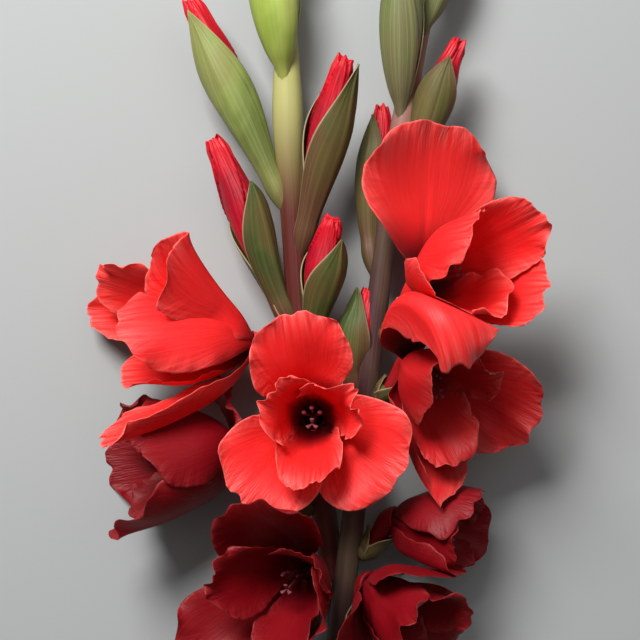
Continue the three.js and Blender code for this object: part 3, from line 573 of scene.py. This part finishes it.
rightSpike = {
    "path": [(-38.2, -9, 5.9), (-36.8, 15, 5.9), (-34, 45, 8), (-28.3, 102, 16), (-19.2, 180, 26.3),
             (-10.8, 251, 30), (-5.2, 303, 31), (0.8, 354, 31), (13.4, 442, 28), (26, 504, 21),
             (40, 556, 11), (66, 626, 1.6)],
    "radius": (6.4, 6.0, 1.8),
    "fuller": {"at": 440, "over": 30, "by": 0.28},
    "blooms": [
        {"name": "upper_side", "foot": 336, "bract": 0.7, "throat": (24, 362, 45),
         "faces": (0.54, 0.22, 0.8), "roll": 0, "grid": (66, 50),
         "tepals": {
             0: {"around": 88, "length": 80, "halfWidth": 45, "flare": (62, 84, 72, 62), "cup": 0.55},
             1: {"around": 215, "length": 60, "flare": (58, 20, 20, 30), "halfWidth": 25},
             2: {"around": 336, "length": 68, "halfWidth": 26, "flare": (58, 26, 18, 10)},
             3: {"around": 36, "length": 76, "halfWidth": 24, "flare": (42, 20, 12, 22)},
             4: {"around": 134, "length": 74, "halfWidth": 24, "flare": (42, 26, -6, -10)},
             5: {"around": 292, "length": 56, "flare": (44, 20, 8, 16), "halfWidth": 23}}},
        # painted shade at half strength on this flower's tepals; its first tepal is left without it
        {"name": "middle_side", "skin": "halfShaded", "foot": 304, "bract": 0.46, "throat": (19, 320, 43),
         "faces": (0.38, -0.42, 0.82), "roll": 12, "grid": (66, 50),
         "tepals": {
             0: {"around": 100, "length": 118, "halfWidth": 40, "flare": (72, 100, -8, -104), "cup": 2,
                 "skin": "unshaded"},
             1: {"around": 246, "length": 82, "halfWidth": 30, "flare": (58, 26, 50, 60)},
             2: {"around": 336, "length": 68, "flare": (62, 40, 40, 44)},
             3: {"length": 54, "halfWidth": 20},
             4: {"around": 142, "length": 60, "halfWidth": 24, "flare": (44, 26, 8, 4)},
             5: {"length": 58, "halfWidth": 20, "flare": (44, 16, 20, 40)}}},
        # painted shade: this flower and the lowest one wear the fully shaded skin
        {"name": "lower_side", "skin": "shaded",
         "foot": 222, "bract": 0.6, "throat": (12, 239, 32.5), "faces": (0.9, -0.22, 0.36),
         "roll": 25, "grid": (44, 36),
         "tepals": {
             0: {"length": 52, "halfWidth": 24, "flare": (56, 24, 12, 10)},
             1: {"length": 56, "halfWidth": 24, "flare": (56, 24, 16, 24)},
             2: {"length": 52, "halfWidth": 24, "flare": (56, 24, 16, 20)},
             3: {"length": 46, "halfWidth": 18}, 4: {"length": 46, "halfWidth": 18},
             5: {"length": 46, "halfWidth": 18}}},
        {"name": "lowest", "skin": "shaded",
         "foot": 184, "bract": 0.46, "throat": (-2, 206, 42), "faces": (0.55, -0.42, 0.7),
         "roll": 0, "grid": (48, 36),
         "tepals": {
             0: {"length": 58, "halfWidth": 25}, 1: {"length": 66, "halfWidth": 27},
             2: {"length": 53, "halfWidth": 25}, 3: {"length": 56}, 5: {"around": 267, "length": 57}}},
    ],
    "buds": [
        {"name": "1", "foot": 306, "leans": (0.02, 0.97, -0.02), "length": 54, "swell": 9,
         "outerBract": (-0.75, 0, 0.55), "bract": 1.02},
        {"name": "2", "foot": 374, "leans": (0, 0.98, -0.12), "length": 84, "swell": 8.6,
         "outerBract": (-0.55, 0, 0.75), "bract": 0.93},
        {"name": "3", "foot": 424, "leans": (0.44, 0.88, 0.06), "length": 74, "swell": 9,
         "outerBract": (-0.25, -0.3, 0.9), "bract": 0.84},
    ],
    "tips": [
        {"foot": 455, "leans": (-0.02, 0.96, 0.2), "length": 90, "swell": 11.5},
        {"foot": 500, "leans": (0.3, 0.93, 0.04), "length": 74, "swell": 9},
        {"foot": 515, "leans": (0.1, 0.98, 0.06), "length": 66, "swell": 8},
        {"foot": 542, "leans": (0.58, 0.8, 0.02), "length": 56, "swell": 6.5},
        {"foot": 566, "leans": (0.2, 0.96, 0.02), "length": 48, "swell": 5.4},
        {"foot": 592, "leans": (0.6, 0.8, -0.07), "length": 42, "swell": 4.6},
    ],
    "leaf": {"foot": 46, "side": (-0.75, 0, 0.65), "length": 145, "lean": (-0.22, 0.96, -0.05)},
}
spikes = {"left": leftSpike, "right": rightSpike}

# Where two flowers lean on each other their tepals part along a plane; the first stays on the side it faces
partings = [
    ("left_front", "left_upper_side", (-62, 314, 52.5), (0.6, -0.5, 0.5)),
    ("left_front", "left_lower_side", (-66, 282, 54.5), (0.7, 0.1, 0.7)),
    ("left_front", "right_middle_side", (10, 306, 66.5), (-0.8, -0.3, 0.4)),
    ("left_upper_side", "left_lower_side", (-104, 300, 48), (0.1, 0.7, 0.7)),
    ("right_upper_side", "right_middle_side", (42, 347, 52.5), (0.42, 0.91, 0)),
    ("right_middle_side", "right_lower_side", (30, 268, 48), (0, 0.7, 0.7)),
    ("right_lower_side", "right_lowest", (30, 218, 42.5), (0.2, 0.95, 0)),
]


# Open flowers

flowerSize = {"petalThickness": 0.5, "rimShare": 0.3, "throatRadius": 6.5, "tubeFoot": 2.5, "tubeFloor": 0.6,
              "tubeWall": 1.2, "ovaryLength": 7, "ovaryRadius": 5, "clearance": 0.3, "keptOff": 0.2,
              "floorEase": 1.5, "partingEase": 5.0}
aboveOvary = flowerSize["ovaryLength"] - 1 + flowerSize["clearance"]    # where a tube or a bud starts


def planesFor(name):
    planes = [(np.zeros(3), up, flowerSize["floorEase"])]
    for first, second, through, faces in partings:
        if name in (first, second):
            normal = unit(faces) * (1 if name == first else -1)
            beside = np.array(through, float) + normal * flowerSize["clearance"]
            planes.append((beside, normal, flowerSize["partingEase"]))
    return planes


def heldClear(points, planes):              # kept on the near side of each plane, eased towards it
    for through, normal, ease in planes:
        height = dot(points - through, normal) - flowerSize["petalThickness"] / 2 - flowerSize["keptOff"]
        kept = np.where(height < -ease, 0, (height + ease)**2 / (4 * ease))
        points = points + normal * np.where(height > ease, 0, kept - height)
    return points


def ripples(chance, count):                 # a wavy line with no beat to it: sines of uneven lengths
    waves = [(chance.uniform(0.7, 1.4), chance.uniform(0, 2 * math.pi), chance.uniform(0.5, 1))
             for _ in range(count)]
    total = sum(size for _, _, size in waves)
    return lambda x: sum(size * np.sin(rate * x + shift) for rate, shift, size in waves) / total


tepalForm = {
    "steps": 600, "sunk": 3, "grip": 1.3, "footWidth": 0.93, "widestAt": 0.62, "roundEnd": 50, "corners": 0.9,
    "notch": 0.012, "notchWidth": 0.12, "endWave": 0.025, "sideWave": 0.05, "groove": 0.7, "grooveWidth": 2.2,
    "swell": 1.1, "frills": [(3.0, 5.5), (1.3, 13), (0.5, 31)],     # height and number, from coarse to fine
}


def tepalPlace(mouth, tepal, seed, planes):
    form = tepalForm
    chance = random.Random(round(seed * 10))
    big, middling, small, strength = (ripples(chance, 3) for _ in range(4))
    swellA, swellB, outline = (ripples(chance, 2) for _ in range(3))
    coarse, medium, fine = form["frills"]
    angle = math.radians(tepal["around"] + mouth["roll"])
    radial = mouth["right"] * math.cos(angle) + mouth["dorsal"] * math.sin(angle)
    sideways = mouth["dorsal"] * math.cos(angle) - mouth["right"] * math.sin(angle)
    x = np.linspace(0, 1, form["steps"])
    a, b, c, d = tepal["flare"]             # the slope away from the flower's axis, from foot to tip
    slopes = np.radians(a * (1 - x)**3 + 3 * b * x * (1 - x)**2 + 3 * c * x * x * (1 - x) + d * x**3)
    start = flowerSize["throatRadius"] - form["grip"] + tepal["nest"]
    step = tepal["length"] / (form["steps"] - 1)

    def covered(share):                     # the way gone in one direction up to each step
        return np.concatenate([[0], np.cumsum((share[1:] + share[:-1]) / 2)]) * step

    outs = start + covered(np.sin(slopes))
    forwards = covered(np.cos(slopes)) - form["sunk"]
    widest, roundEnd = form["widestAt"], math.radians(form["roundEnd"])

    def place(s, t):
        past = np.clip((s - widest) / (1 - widest), 0, 1)
        turnIn = past * roundEnd
        widening = np.sin(math.pi / 2 * np.clip(s / widest, 0, 1))**1.1
        share = np.where(s < widest, widening, np.cos(turnIn))
        rim = 1 - (1 - np.abs(t)**4) * (1 - s**10)
        swing = np.arctan2(t * share, (s - 0.45) * 1.3)         # goes round the petal's edge
        rounded = lerp(past, np.sin(turnIn) / math.sin(roundEnd), t * t)
        reach = np.where(s < widest, s, widest + (1 - widest) * rounded)
        reach = reach - (1 - widest) * (1 - math.cos(roundEnd)) * past * np.abs(t)**2.5 * form["corners"]
        notch = form["notch"] * np.exp(-(t / form["notchWidth"])**2)
        reach = np.clip(reach + past**3 * (form["endWave"] * outline(9 * swing) - notch), 0, 1)
        out, forward, slope = (np.interp(reach, x, line) for line in (outs, forwards, slopes))
        half = lerp(form["footWidth"] * start,
                    tepal["halfWidth"] * (1 + form["sideWave"] * outline(6 * swing + 2)), share)
        cup = np.maximum(0.1, np.cos(slope)) * lerp(1, tepal["cup"], s)
        bend = lerp(1, cup, smooth(s * 5)) / out
        turn = t * half * bend
        grown = smooth(s * 2.5)
        frill = tepal["frill"] * smooth(s * 1.6) * (
            coarse[0] * rim * big(coarse[1] * swing)
            + medium[0] * rim**1.5 * middling(medium[1] * swing) * (1 + 0.8 * strength(3 * swing))
            + fine[0] * rim**2 * small(fine[1] * swing))
        wave = tepal["ruffle"] * s**1.5 * t * t * np.sin(2 * math.pi * tepal["waves"] * s + seed + 1.3 * t)
        groove = form["groove"] * np.exp(-(t * half / form["grooveWidth"])**2) * smooth(s * 4) * (1 - 0.7 * s)
        swell = swellA(5 * s + 2.4 * t) * np.cos(2.5 * t) + 0.5 * swellB(9 * s - 4 * t)
        fold = np.radians(tepal["fold"]) * grown
        flat, rise = np.sin(turn) / bend, (1 - np.cos(turn)) / bend
        aside = flat * np.cos(fold) - np.sign(t) * rise * np.sin(fold)
        lift = np.abs(flat) * np.sin(fold) + rise * np.cos(fold) + wave + frill - groove
        lift = lift + form["swell"] * grown * swell + tepal["roll"] * t * half * grown
        inward = mouth["faces"] * column(np.sin(slope)) - radial * column(np.cos(slope))
        free = mouth["throat"] + radial * column(out) + mouth["faces"] * column(forward)
        return heldClear(free + sideways * column(aside) + inward * column(lift), planes)
    return place


tubeForm = {"grid": (60, 32), "rimBack": 2.2, "lip": 0.575, "stops": [0, 0.02, 0.55, 0.6, 0.98, 1],
            "patternReach": 0.4}


def tubeRadius(c):
    widening = smooth((c - 0.15) / 0.85) * 0.7 + c * 0.3
    return lerp(flowerSize["tubeFoot"], flowerSize["throatRadius"] + flowerSize["tubeWall"], widening)


def makeBloom(name, bloom, axis, mouth):
    planes = planesFor(name)
    bloomSkin = bloom.get("skin", "unshaded")
    foot, rim = aboveOvary / axis.length, 1 - tubeForm["rimBack"] / axis.length
    floor, lip, stops = flowerSize["tubeFloor"], tubeForm["lip"], tubeForm["stops"]

    def tubeProfile(s):                     # up the outside, over the rim and down the inside to the floor
        c = np.interp(s, stops, [foot, foot, rim, rim, floor, floor])
        outside = tubeRadius(c) * np.interp(s, stops[:2], [0, 1])
        inside = flowerSize["throatRadius"] * (0.3 + 0.45 * c) * np.interp(s, stops[-2:], [1, 0])
        return c * axis.length, np.where(s < lip, outside, inside)

    tube = closedRound(axis.around, tubeProfile, *tubeForm["grid"], petalSkins[bloomSkin])
    layer = tube.data.uv_layers["UVMap"].data
    for face in tube.data.polygons:         # the petals' pattern, with the painted shade of the throat, goes on down the tube, inside and out
        v = sum(layer[corner].uv[1] for corner in face.loop_indices) / len(face.loop_indices)
        face.material_index = 1 if v > lip else 0
        for corner in face.loop_indices:
            u, v = layer[corner].uv
            layer[corner].uv = (u, (lip - v if face.material_index else v) * tubeForm["patternReach"])
    tepals = []
    for i, usual in enumerate(tepalPlaces):
        tepal = {**usual, **bloom["tepals"].get(i, {})}
        place = tepalPlace(mouth, tepal, i * 1.9 + mouth["throat"][0], planes)
        tepals.append(layGrid(*bloom["grid"], place, petalSkins[tepal.get("skin", bloomSkin)],
                              thickness=flowerSize["petalThickness"], rimShare=flowerSize["rimShare"]))
    return finishPiece(tube, name + "_petals", tepals)


stamenSize = {
    "grid": (20, 8), "filament": 0.55,
    "antherLength": 11, "antherFoot": 2, "antherNod": 1.5, "antherArch": 0.8,
    "antherGirths": [0.91, 1.3, 1.3, 1.3, 0.78], "antherFlat": 0.7,
    "anthers": [(-4, 2.5, 13), (0, 5, 15), (4, 2.5, 13)],       # across, up and out of the mouth
    "style": 0.5, "styleReach": 27, "stigma": 5, "stigmaTurns": [90, 210, 330],
    "stigmaArch": 0.6, "stigmaGirths": [0.4, 0.6, 1.0, 1.3], "stigmaFlat": 0.5,
}


def makeStamens(name, axis, mouth):
    size = stamenSize
    throat, faces, dorsal, right = (mouth[key] for key in ("throat", "faces", "dorsal", "right"))
    foot = flowerSize["tubeFloor"] * axis.length + flowerSize["clearance"]
    rods = []

    def rod(path, girths, flat=1.0):
        path = np.array(path, float)
        stops = np.linspace(0, 1, len(path))

        def along(distance):
            return np.stack([np.interp(distance, stops, path[:, i]) for i in range(3)], 1)

        def line(distance, angle, radius):
            heading = unit(along(distance + 0.02) - along(distance - 0.02))
            first = squareTo(right, heading)
            return onRing(along(distance), first, np.cross(heading, first), angle, radius, flat)

        def profile(s):
            cap = np.sqrt(np.clip(1 - (2 * s - 1)**16, 0, 1))
            return s, np.interp(s, np.linspace(0, 1, len(girths)), girths) * cap

        rods.append(closedRound(line, profile, *size["grid"], [stamenShadedPink]))

    def fromFloor(end):                     # up the tube, leaning ever more towards its end
        below = [axis.frame(d)[0][0] for d in np.linspace(foot, axis.length, 5)]
        side = end - throat
        side = side - faces * dot(side, faces)
        return [point + side * share for point, share in zip(below, [0.0, 0.1, 0.2, 0.3, 0.4])] + [end]

    for across, rise, reach in size["anthers"]:
        end = throat + faces * reach + dorsal * rise + right * across
        rod(fromFloor(end), [size["filament"]] * 4)
        tip = end + faces * size["antherLength"] * 0.85 + dorsal * size["antherNod"]
        middle = lerp(end, tip, 0.5) + dorsal * size["antherArch"]
        rod([end - faces * size["antherFoot"], middle, tip], size["antherGirths"], size["antherFlat"])
    end = throat + faces * size["styleReach"] - dorsal * 1 + right * 0.5
    rod(fromFloor(end), [size["style"]] * 4)
    for turn in size["stigmaTurns"]:
        side = right * math.cos(math.radians(turn)) + dorsal * math.sin(math.radians(turn))
        tip = end + side * size["stigma"] * 0.6 + faces * size["stigma"] * 0.6
        middle = lerp(end, tip, 0.5) + faces * size["stigmaArch"]
        rod([end, middle, tip], size["stigmaGirths"], size["stigmaFlat"])
    return finishPiece(rods[0], name + "_stamens", rods[1:])


# The ovary and the two green bracts at a floret's foot. Each bract starts as a low ridge on the stem.

floretFoot = {                              # lean from the stem, inner bract's share, how far bracts run down
    "bloom": {"lean": 0.75, "inner": 0.84, "below": 5},
    "bud": {"lean": 0.35, "inner": 0.8, "below": 18},
}
bractSize = {
    "outer": {"wrap": 128, "stand": 1.9, "gape": 1.2}, "inner": {"wrap": 108, "stand": 1.1, "gape": 0.3},
    "grid": (46, 28), "thickness": 0.6, "growsFrom": 5, "growsOver": 9, "keel": 0.8, "keelWidth": 0.13,
    "flute": 0.10, "flutes": 22, "swell": 0.5, "edgeWave": 0.9,
}
ovaryForm = {"grid": (20, 20), "from": -1.5, "length": 9, "blunt": 0.45}


def bractPlace(axis, bodyRadius, length, centred, below, seed, wrap, stand, gape):
    size = bractSize
    chance = random.Random(seed)
    edgeWave, faceWave = ripples(chance, 3), ripples(chance, 3)
    ovaryGirth = flowerSize["ovaryRadius"] + 0.4 + stand * 0.15

    def place(s, t):
        distance = lerp(-below, length, s)
        angle = centred + t * math.radians(wrap) * np.maximum(0.015, (1 - s**2.1)**0.85)
        grown = smooth((distance - size["growsFrom"]) / size["growsOver"])
        foot = smooth((distance + below) / (below + 6))**0.8
        radius = lerp(ovaryGirth * foot, bodyRadius(distance) + stand, grown) + gape * s**4
        keel = size["keel"] * np.exp(-(t / size["keelWidth"])**2) * smooth(s * 3)
        flute = size["flute"] * np.cos(t * size["flutes"]) + size["swell"] * faceWave(5 * s + 2 * t)
        flute = flute + size["edgeWave"] * edgeWave(7 * s + t) * t**4
        return axis.around(distance, angle, radius + keel + flute * smooth(s * 2.5))
    return place


def makeSpathe(name, axis, bodyRadius, reach, skin, foot):
    def ovaryProfile(s):
        turn = s * math.pi
        distance = ovaryForm["from"] + ovaryForm["length"] * (1 - np.cos(turn)) / 2
        return distance, (flowerSize["ovaryRadius"] - 0.1) * np.sin(turn)**ovaryForm["blunt"]

    ovary = closedRound(axis.around, ovaryProfile, *ovaryForm["grid"], [skin])
    bracts = []
    for side, length, centred in (("outer", reach, 0), ("inner", reach * foot["inner"], math.pi)):
        place = bractPlace(axis, bodyRadius, length, centred, foot["below"], name + side, **bractSize[side])
        bracts.append(layGrid(*bractSize["grid"], place, [skin], thickness=bractSize["thickness"]))
    return finishPiece(ovary, name, bracts)


# Buds: furled tepals lapping each other in a spiral, crumpled at the tip

budForm = {"grid": (92, 68), "slimmest": 0.24, "laps": 3, "twist": 8, "lapDepth": 0.14, "lapLine": 0.10,
           "crumplesFrom": 0.66, "crumple": 0.14, "fringe": 2.4}


def budRadius(bud):
    def radius(distance):
        c = np.asarray(distance, float) / bud["length"]
        slim = np.minimum(1, 0.3 + 0.7 * smooth(c / 0.6)) * (1 - 0.45 * smooth((c - 0.6) / 0.4))
        return bud["swell"] * np.maximum(budForm["slimmest"], slim)
    return radius


def makeBud(name, bud, axis):
    form, radius = budForm, budRadius(bud)
    chance = random.Random(name)
    crease, fringe, pucker = (ripples(chance, 3) for _ in range(3))

    def profile(s):                         # the tip's rim turns in to a small hollow
        distance = lerp(aboveOvary, axis.length, np.interp(s, [0, 0.015, 0.95, 1], [0, 0, 1.0, 0.97]))
        ends = np.interp(s, [0, 0.015, 0.90, 0.965, 1], [0, 1, 1, 0.66, 0])
        return distance, radius(distance / axis.length * bud["length"]) * ends

    def wobble(distance, girth, angle, s):
        lap = (form["laps"] * angle - form["twist"] * s) / (2 * math.pi)
        lap = lap - np.floor(lap)
        folded = 1 - form["lapDepth"] * (1 - lap**1.6) - form["lapLine"] * np.exp(-(lap / 0.07)**2)
        folded = folded + 0.02 * crease(9 * angle + 6 * s)
        crumpled = smooth((s - form["crumplesFrom"]) / 0.3)
        pleats = form["crumple"] * pucker(6 * angle + 11 * s) + 0.07 * crease(17 * angle - 19 * s)
        distance = distance + crumpled * form["fringe"] * fringe(5 * angle)
        return distance, girth * (folded + crumpled * pleats)

    return finishPiece(closedRound(axis.around, profile, *form["grid"], [budRed], wobble), name)


# Green buds near the tip, each wrapped in two bracts that run down onto the stem

tipForm = {
    "grid": (30, 20), "core": 0.93, "slimmest": 0.25, "runsDown": 0.26, "thickness": 0.5,
    "keel": 0.5, "keelWidth": 0.14, "flute": 0.12, "flutes": 14,
    "bracts": [{"centred": 0, "wrap": 100, "length": 1.0, "stand": 0.9, "grid": (28, 18)},
               {"centred": math.pi, "wrap": 80, "length": 0.86, "stand": 0.7, "grid": (26, 16)}],
}


def makeTipBud(bud, stem, skin):
    form, runsDown = tipForm, tipForm["runsDown"]
    lean = unit(bud["leans"])
    foot = stem.point(stem.atHeight(bud["foot"]))[0]
    axis = Floret(stem, bud, foot + lean * bud["length"], lean, floretFoot["bud"]["lean"])

    def girth(c):
        plump = np.clip(np.sin(math.pi * (0.05 + c * 0.9)), 0, 1)**0.75
        return bud["swell"] * np.maximum(form["slimmest"], plump) * form["core"]

    def profile(s):
        c = np.interp(s, [0, 0.01, 0.96, 1], [0, 0, 0.98, 1])
        return c * axis.length, girth(c) * np.interp(s, [0, 0.01, 0.9, 0.97, 1], [0, 1, 1, 0.6, 0])

    def wrapped(bract):
        def place(s, t):
            c = lerp(-runsDown, bract["length"], s)
            spread = math.radians(bract["wrap"]) * np.maximum(0.02, (1 - s**2)**0.7)
            keel = form["keel"] * np.exp(-(t / form["keelWidth"])**2)
            keel = keel + form["flute"] * np.cos(t * form["flutes"])
            radius = girth(np.maximum(c, 0)) + bract["stand"] + keel
            grown = 0.35 + 0.65 * smooth((c + runsDown) / runsDown / 1.4)
            return axis.around(c * axis.length, bract["centred"] + t * spread, radius * grown)
        return layGrid(*bract["grid"], place, [skin], thickness=form["thickness"])

    core = closedRound(axis.around, profile, *form["grid"], [skin])
    return [core] + [wrapped(bract) for bract in form["bracts"]]


stemForm = {"grid": (240, 28), "cutEnd": 0.006, "ribs": 7, "ribDepth": 0.012, "bumpDepth": 0.01}


def makeStem(name, stem, fuller, skin):
    ends = [0, stemForm["cutEnd"], 1 - stemForm["cutEnd"], 1]

    def line(u, angle, radius):
        centre, _, first, second = stem.frame(u)
        full = fuller["by"] * np.exp(-((centre[:, 1] - fuller["at"]) / fuller["over"])**2)
        ridge = 1 + stemForm["ribDepth"] * np.cos(stemForm["ribs"] * angle)
        ridge = ridge + stemForm["bumpDepth"] * np.cos(3 * angle + 40 * u)
        return onRing(centre, first, second, angle, radius * (ridge + full * (0.8 + 0.2 * np.cos(2 * angle))))

    def profile(s):
        u = np.interp(s, ends, [0, 0, 1, 1])
        return u, stem.radius(u) * np.interp(s, ends, [0, 1, 1, 0])

    return finishPiece(closedRound(line, profile, *stemForm["grid"], [skin]), name)


leafForm = {"grid": (56, 32), "thickness": 1.0, "sheathEnd": 0.3, "play": 1.6, "openCurl": 34,
            "bladeHalf": 10, "rib": 0.2, "ribs": 22, "keel": 0.6, "keelWidth": 0.1, "lowest": 0.6}


def makeLeaf(name, leaf, stem):
    form, sheathEnd = leafForm, leafForm["sheathEnd"]
    outward, lean = unit(leaf["side"]), unit(leaf["lean"])
    clasp = stem.radius(stem.atHeight(leaf["foot"]))[0] + form["play"]

    def place(s, t):                        # clasps the stem up to the sheath's end, then opens out
        u = stem.atHeight(leaf["foot"] + np.minimum(s, sheathEnd) * leaf["length"])
        centre, along, _, _ = stem.frame(u)
        away = squareTo(outward, along)
        side = np.cross(along, away)
        opened = smooth((s - sheathEnd * 0.6) / 0.4)
        curl = lerp(clasp, form["openCurl"], opened * opened)
        half = lerp(2.2 * clasp, form["bladeHalf"], smooth(s / 0.45)) * (1 - smooth((s - 0.4) / 0.6)**1.5)
        past = np.maximum(0, s - sheathEnd) * leaf["length"]
        turn = t * np.maximum(0.3, half) / curl
        ribs = form["rib"] * np.cos(t * form["ribs"]) + form["keel"] * np.exp(-(t / form["keelWidth"])**2)
        reach = clasp - curl * (1 - np.cos(turn)) + ribs * smooth(s * 4)
        points = centre + lean * column(past) + away * column(reach) + side * column(curl * np.sin(turn))
        points[:, 2] = np.maximum(points[:, 2], form["lowest"])
        return points

    return finishPiece(layGrid(*form["grid"], place, [leafGreen], thickness=form["thickness"]), name)


# Each spike is built from its foot to its tip

def dress(piece, node):
    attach(piece, "root")
    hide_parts(node)


def mouthOf(bloom):                         # where a flower opens, and its own directions there
    faces = unit(bloom["faces"])
    dorsal = squareTo(alongStems, faces)
    return {"throat": np.array(bloom["throat"], float), "faces": faces, "dorsal": dorsal,
            "right": np.cross(dorsal, faces), "roll": bloom["roll"]}


for spikeName, spike in spikes.items():
    stem = Stem(spike)
    stalk = makeStem(spikeName + "_stalk", stem, spike["fuller"], stemSkins[spikeName])
    dress(stalk, spikeName + "_stem")
    tipParts = [part for bud in spike["tips"] for part in makeTipBud(bud, stem, bractSkins[spikeName])]
    dress(finishPiece(tipParts[0], spikeName + "_tip_buds", tipParts[1:]), spikeName + "_stem")
    dress(makeLeaf(spikeName + "_blade", spike["leaf"], stem), spikeName + "_leaf")
    for bloom in spike["blooms"]:
        name = spikeName + "_" + bloom["name"]
        foot = floretFoot["bloom"]
        mouth = mouthOf(bloom)
        axis = Floret(stem, bloom, mouth["throat"], mouth["faces"], foot["lean"])
        spathe = makeSpathe(name + "_bracts", axis, lambda d: tubeRadius(d / axis.length),
                            axis.length * bloom["bract"], bractSkins["grown"], foot)
        dress(spathe, name + "_spathe")
        dress(makeBloom(name, bloom, axis, mouth), name + "_bloom")
        dress(makeStamens(name, axis, mouth), name + "_stamens")
        print("bloom made:", name)
    for bud in spike["buds"]:
        name = spikeName + "_bud_" + bud["name"]
        foot = floretFoot["bud"]
        lean = unit(bud["leans"])
        end = stem.point(stem.atHeight(bud["foot"]))[0] + lean * bud["length"]
        axis = Floret(stem, bud, end, lean, foot["lean"])
        spathe = makeSpathe(name + "_bracts", axis, budRadius(bud), bud["length"] * bud["bract"],
                            bractSkins[bud.get("skin", "grown")], foot)
        dress(spathe, name + "_spathe")
        dress(makeBud(name + "_furled", bud, axis), name)
    print("spike made:", spikeName)


# Floor, light and camera

# The floor's size and place and the lights' places below are in metres
floorLook = {"size": 6, "at": (0, 0.3, 0), "colour": (0.37, 0.38, 0.374), "rough": 0.9}


def plainFloor(start, u, v, where):
    return {"Base Color": floorLook["colour"], "Roughness": floorLook["rough"]}


bpy.ops.mesh.primitive_plane_add(size=floorLook["size"], location=floorLook["at"])
floor = bpy.context.object
floor.name = "floor"
floor.data.materials.append(newMaterial("floor_grey", plainFloor))

lights = [
    {"name": "key", "at": (-0.42, 1.10, 1.02), "size": 0.55, "power": 21, "aim": (-0.04, 0.38, 0.05)},
    {"name": "fill", "at": (0.35, 0.75, 1.2), "size": 1.0, "power": 2.0, "aim": (-0.02, 0.33, 0.04)},
]
lightSpread = 160
room = {"colour": (0.85, 0.88, 0.9, 1), "strength": 0.12}
for light in lights:
    bpy.ops.object.light_add(type="AREA", location=light["at"])
    lamp = bpy.context.object
    lamp.name = light["name"]
    lamp.data.size = light["size"]
    lamp.data.energy = light["power"]
    lamp.data.spread = math.radians(lightSpread)
    away = lamp.location - type(lamp.location)(light["aim"])
    lamp.rotation_euler = away.to_track_quat("Z", "Y").to_euler()
world = bpy.data.worlds.new("studio")
bpy.context.scene.world = world
world.use_nodes = True
background = world.node_tree.nodes["Background"]
background.inputs["Color"].default_value = room["colour"]
background.inputs["Strength"].default_value = room["strength"]

view = {"over": (-29.4, 344), "plane": 45, "above": 800, "width": 329.6, "sensor": 36}
eye = (view["over"][0] * mm, view["over"][1] * mm, (view["plane"] + view["above"]) * mm)
bpy.ops.object.camera_add(location=eye, rotation=(0, 0, 0))
camera = bpy.context.object
camera.data.sensor_width = view["sensor"]
camera.data.lens = view["sensor"] * view["above"] / view["width"]
bpy.context.scene.camera = camera
bpy.context.scene.view_settings.view_transform = "Standard"
print("stage set")
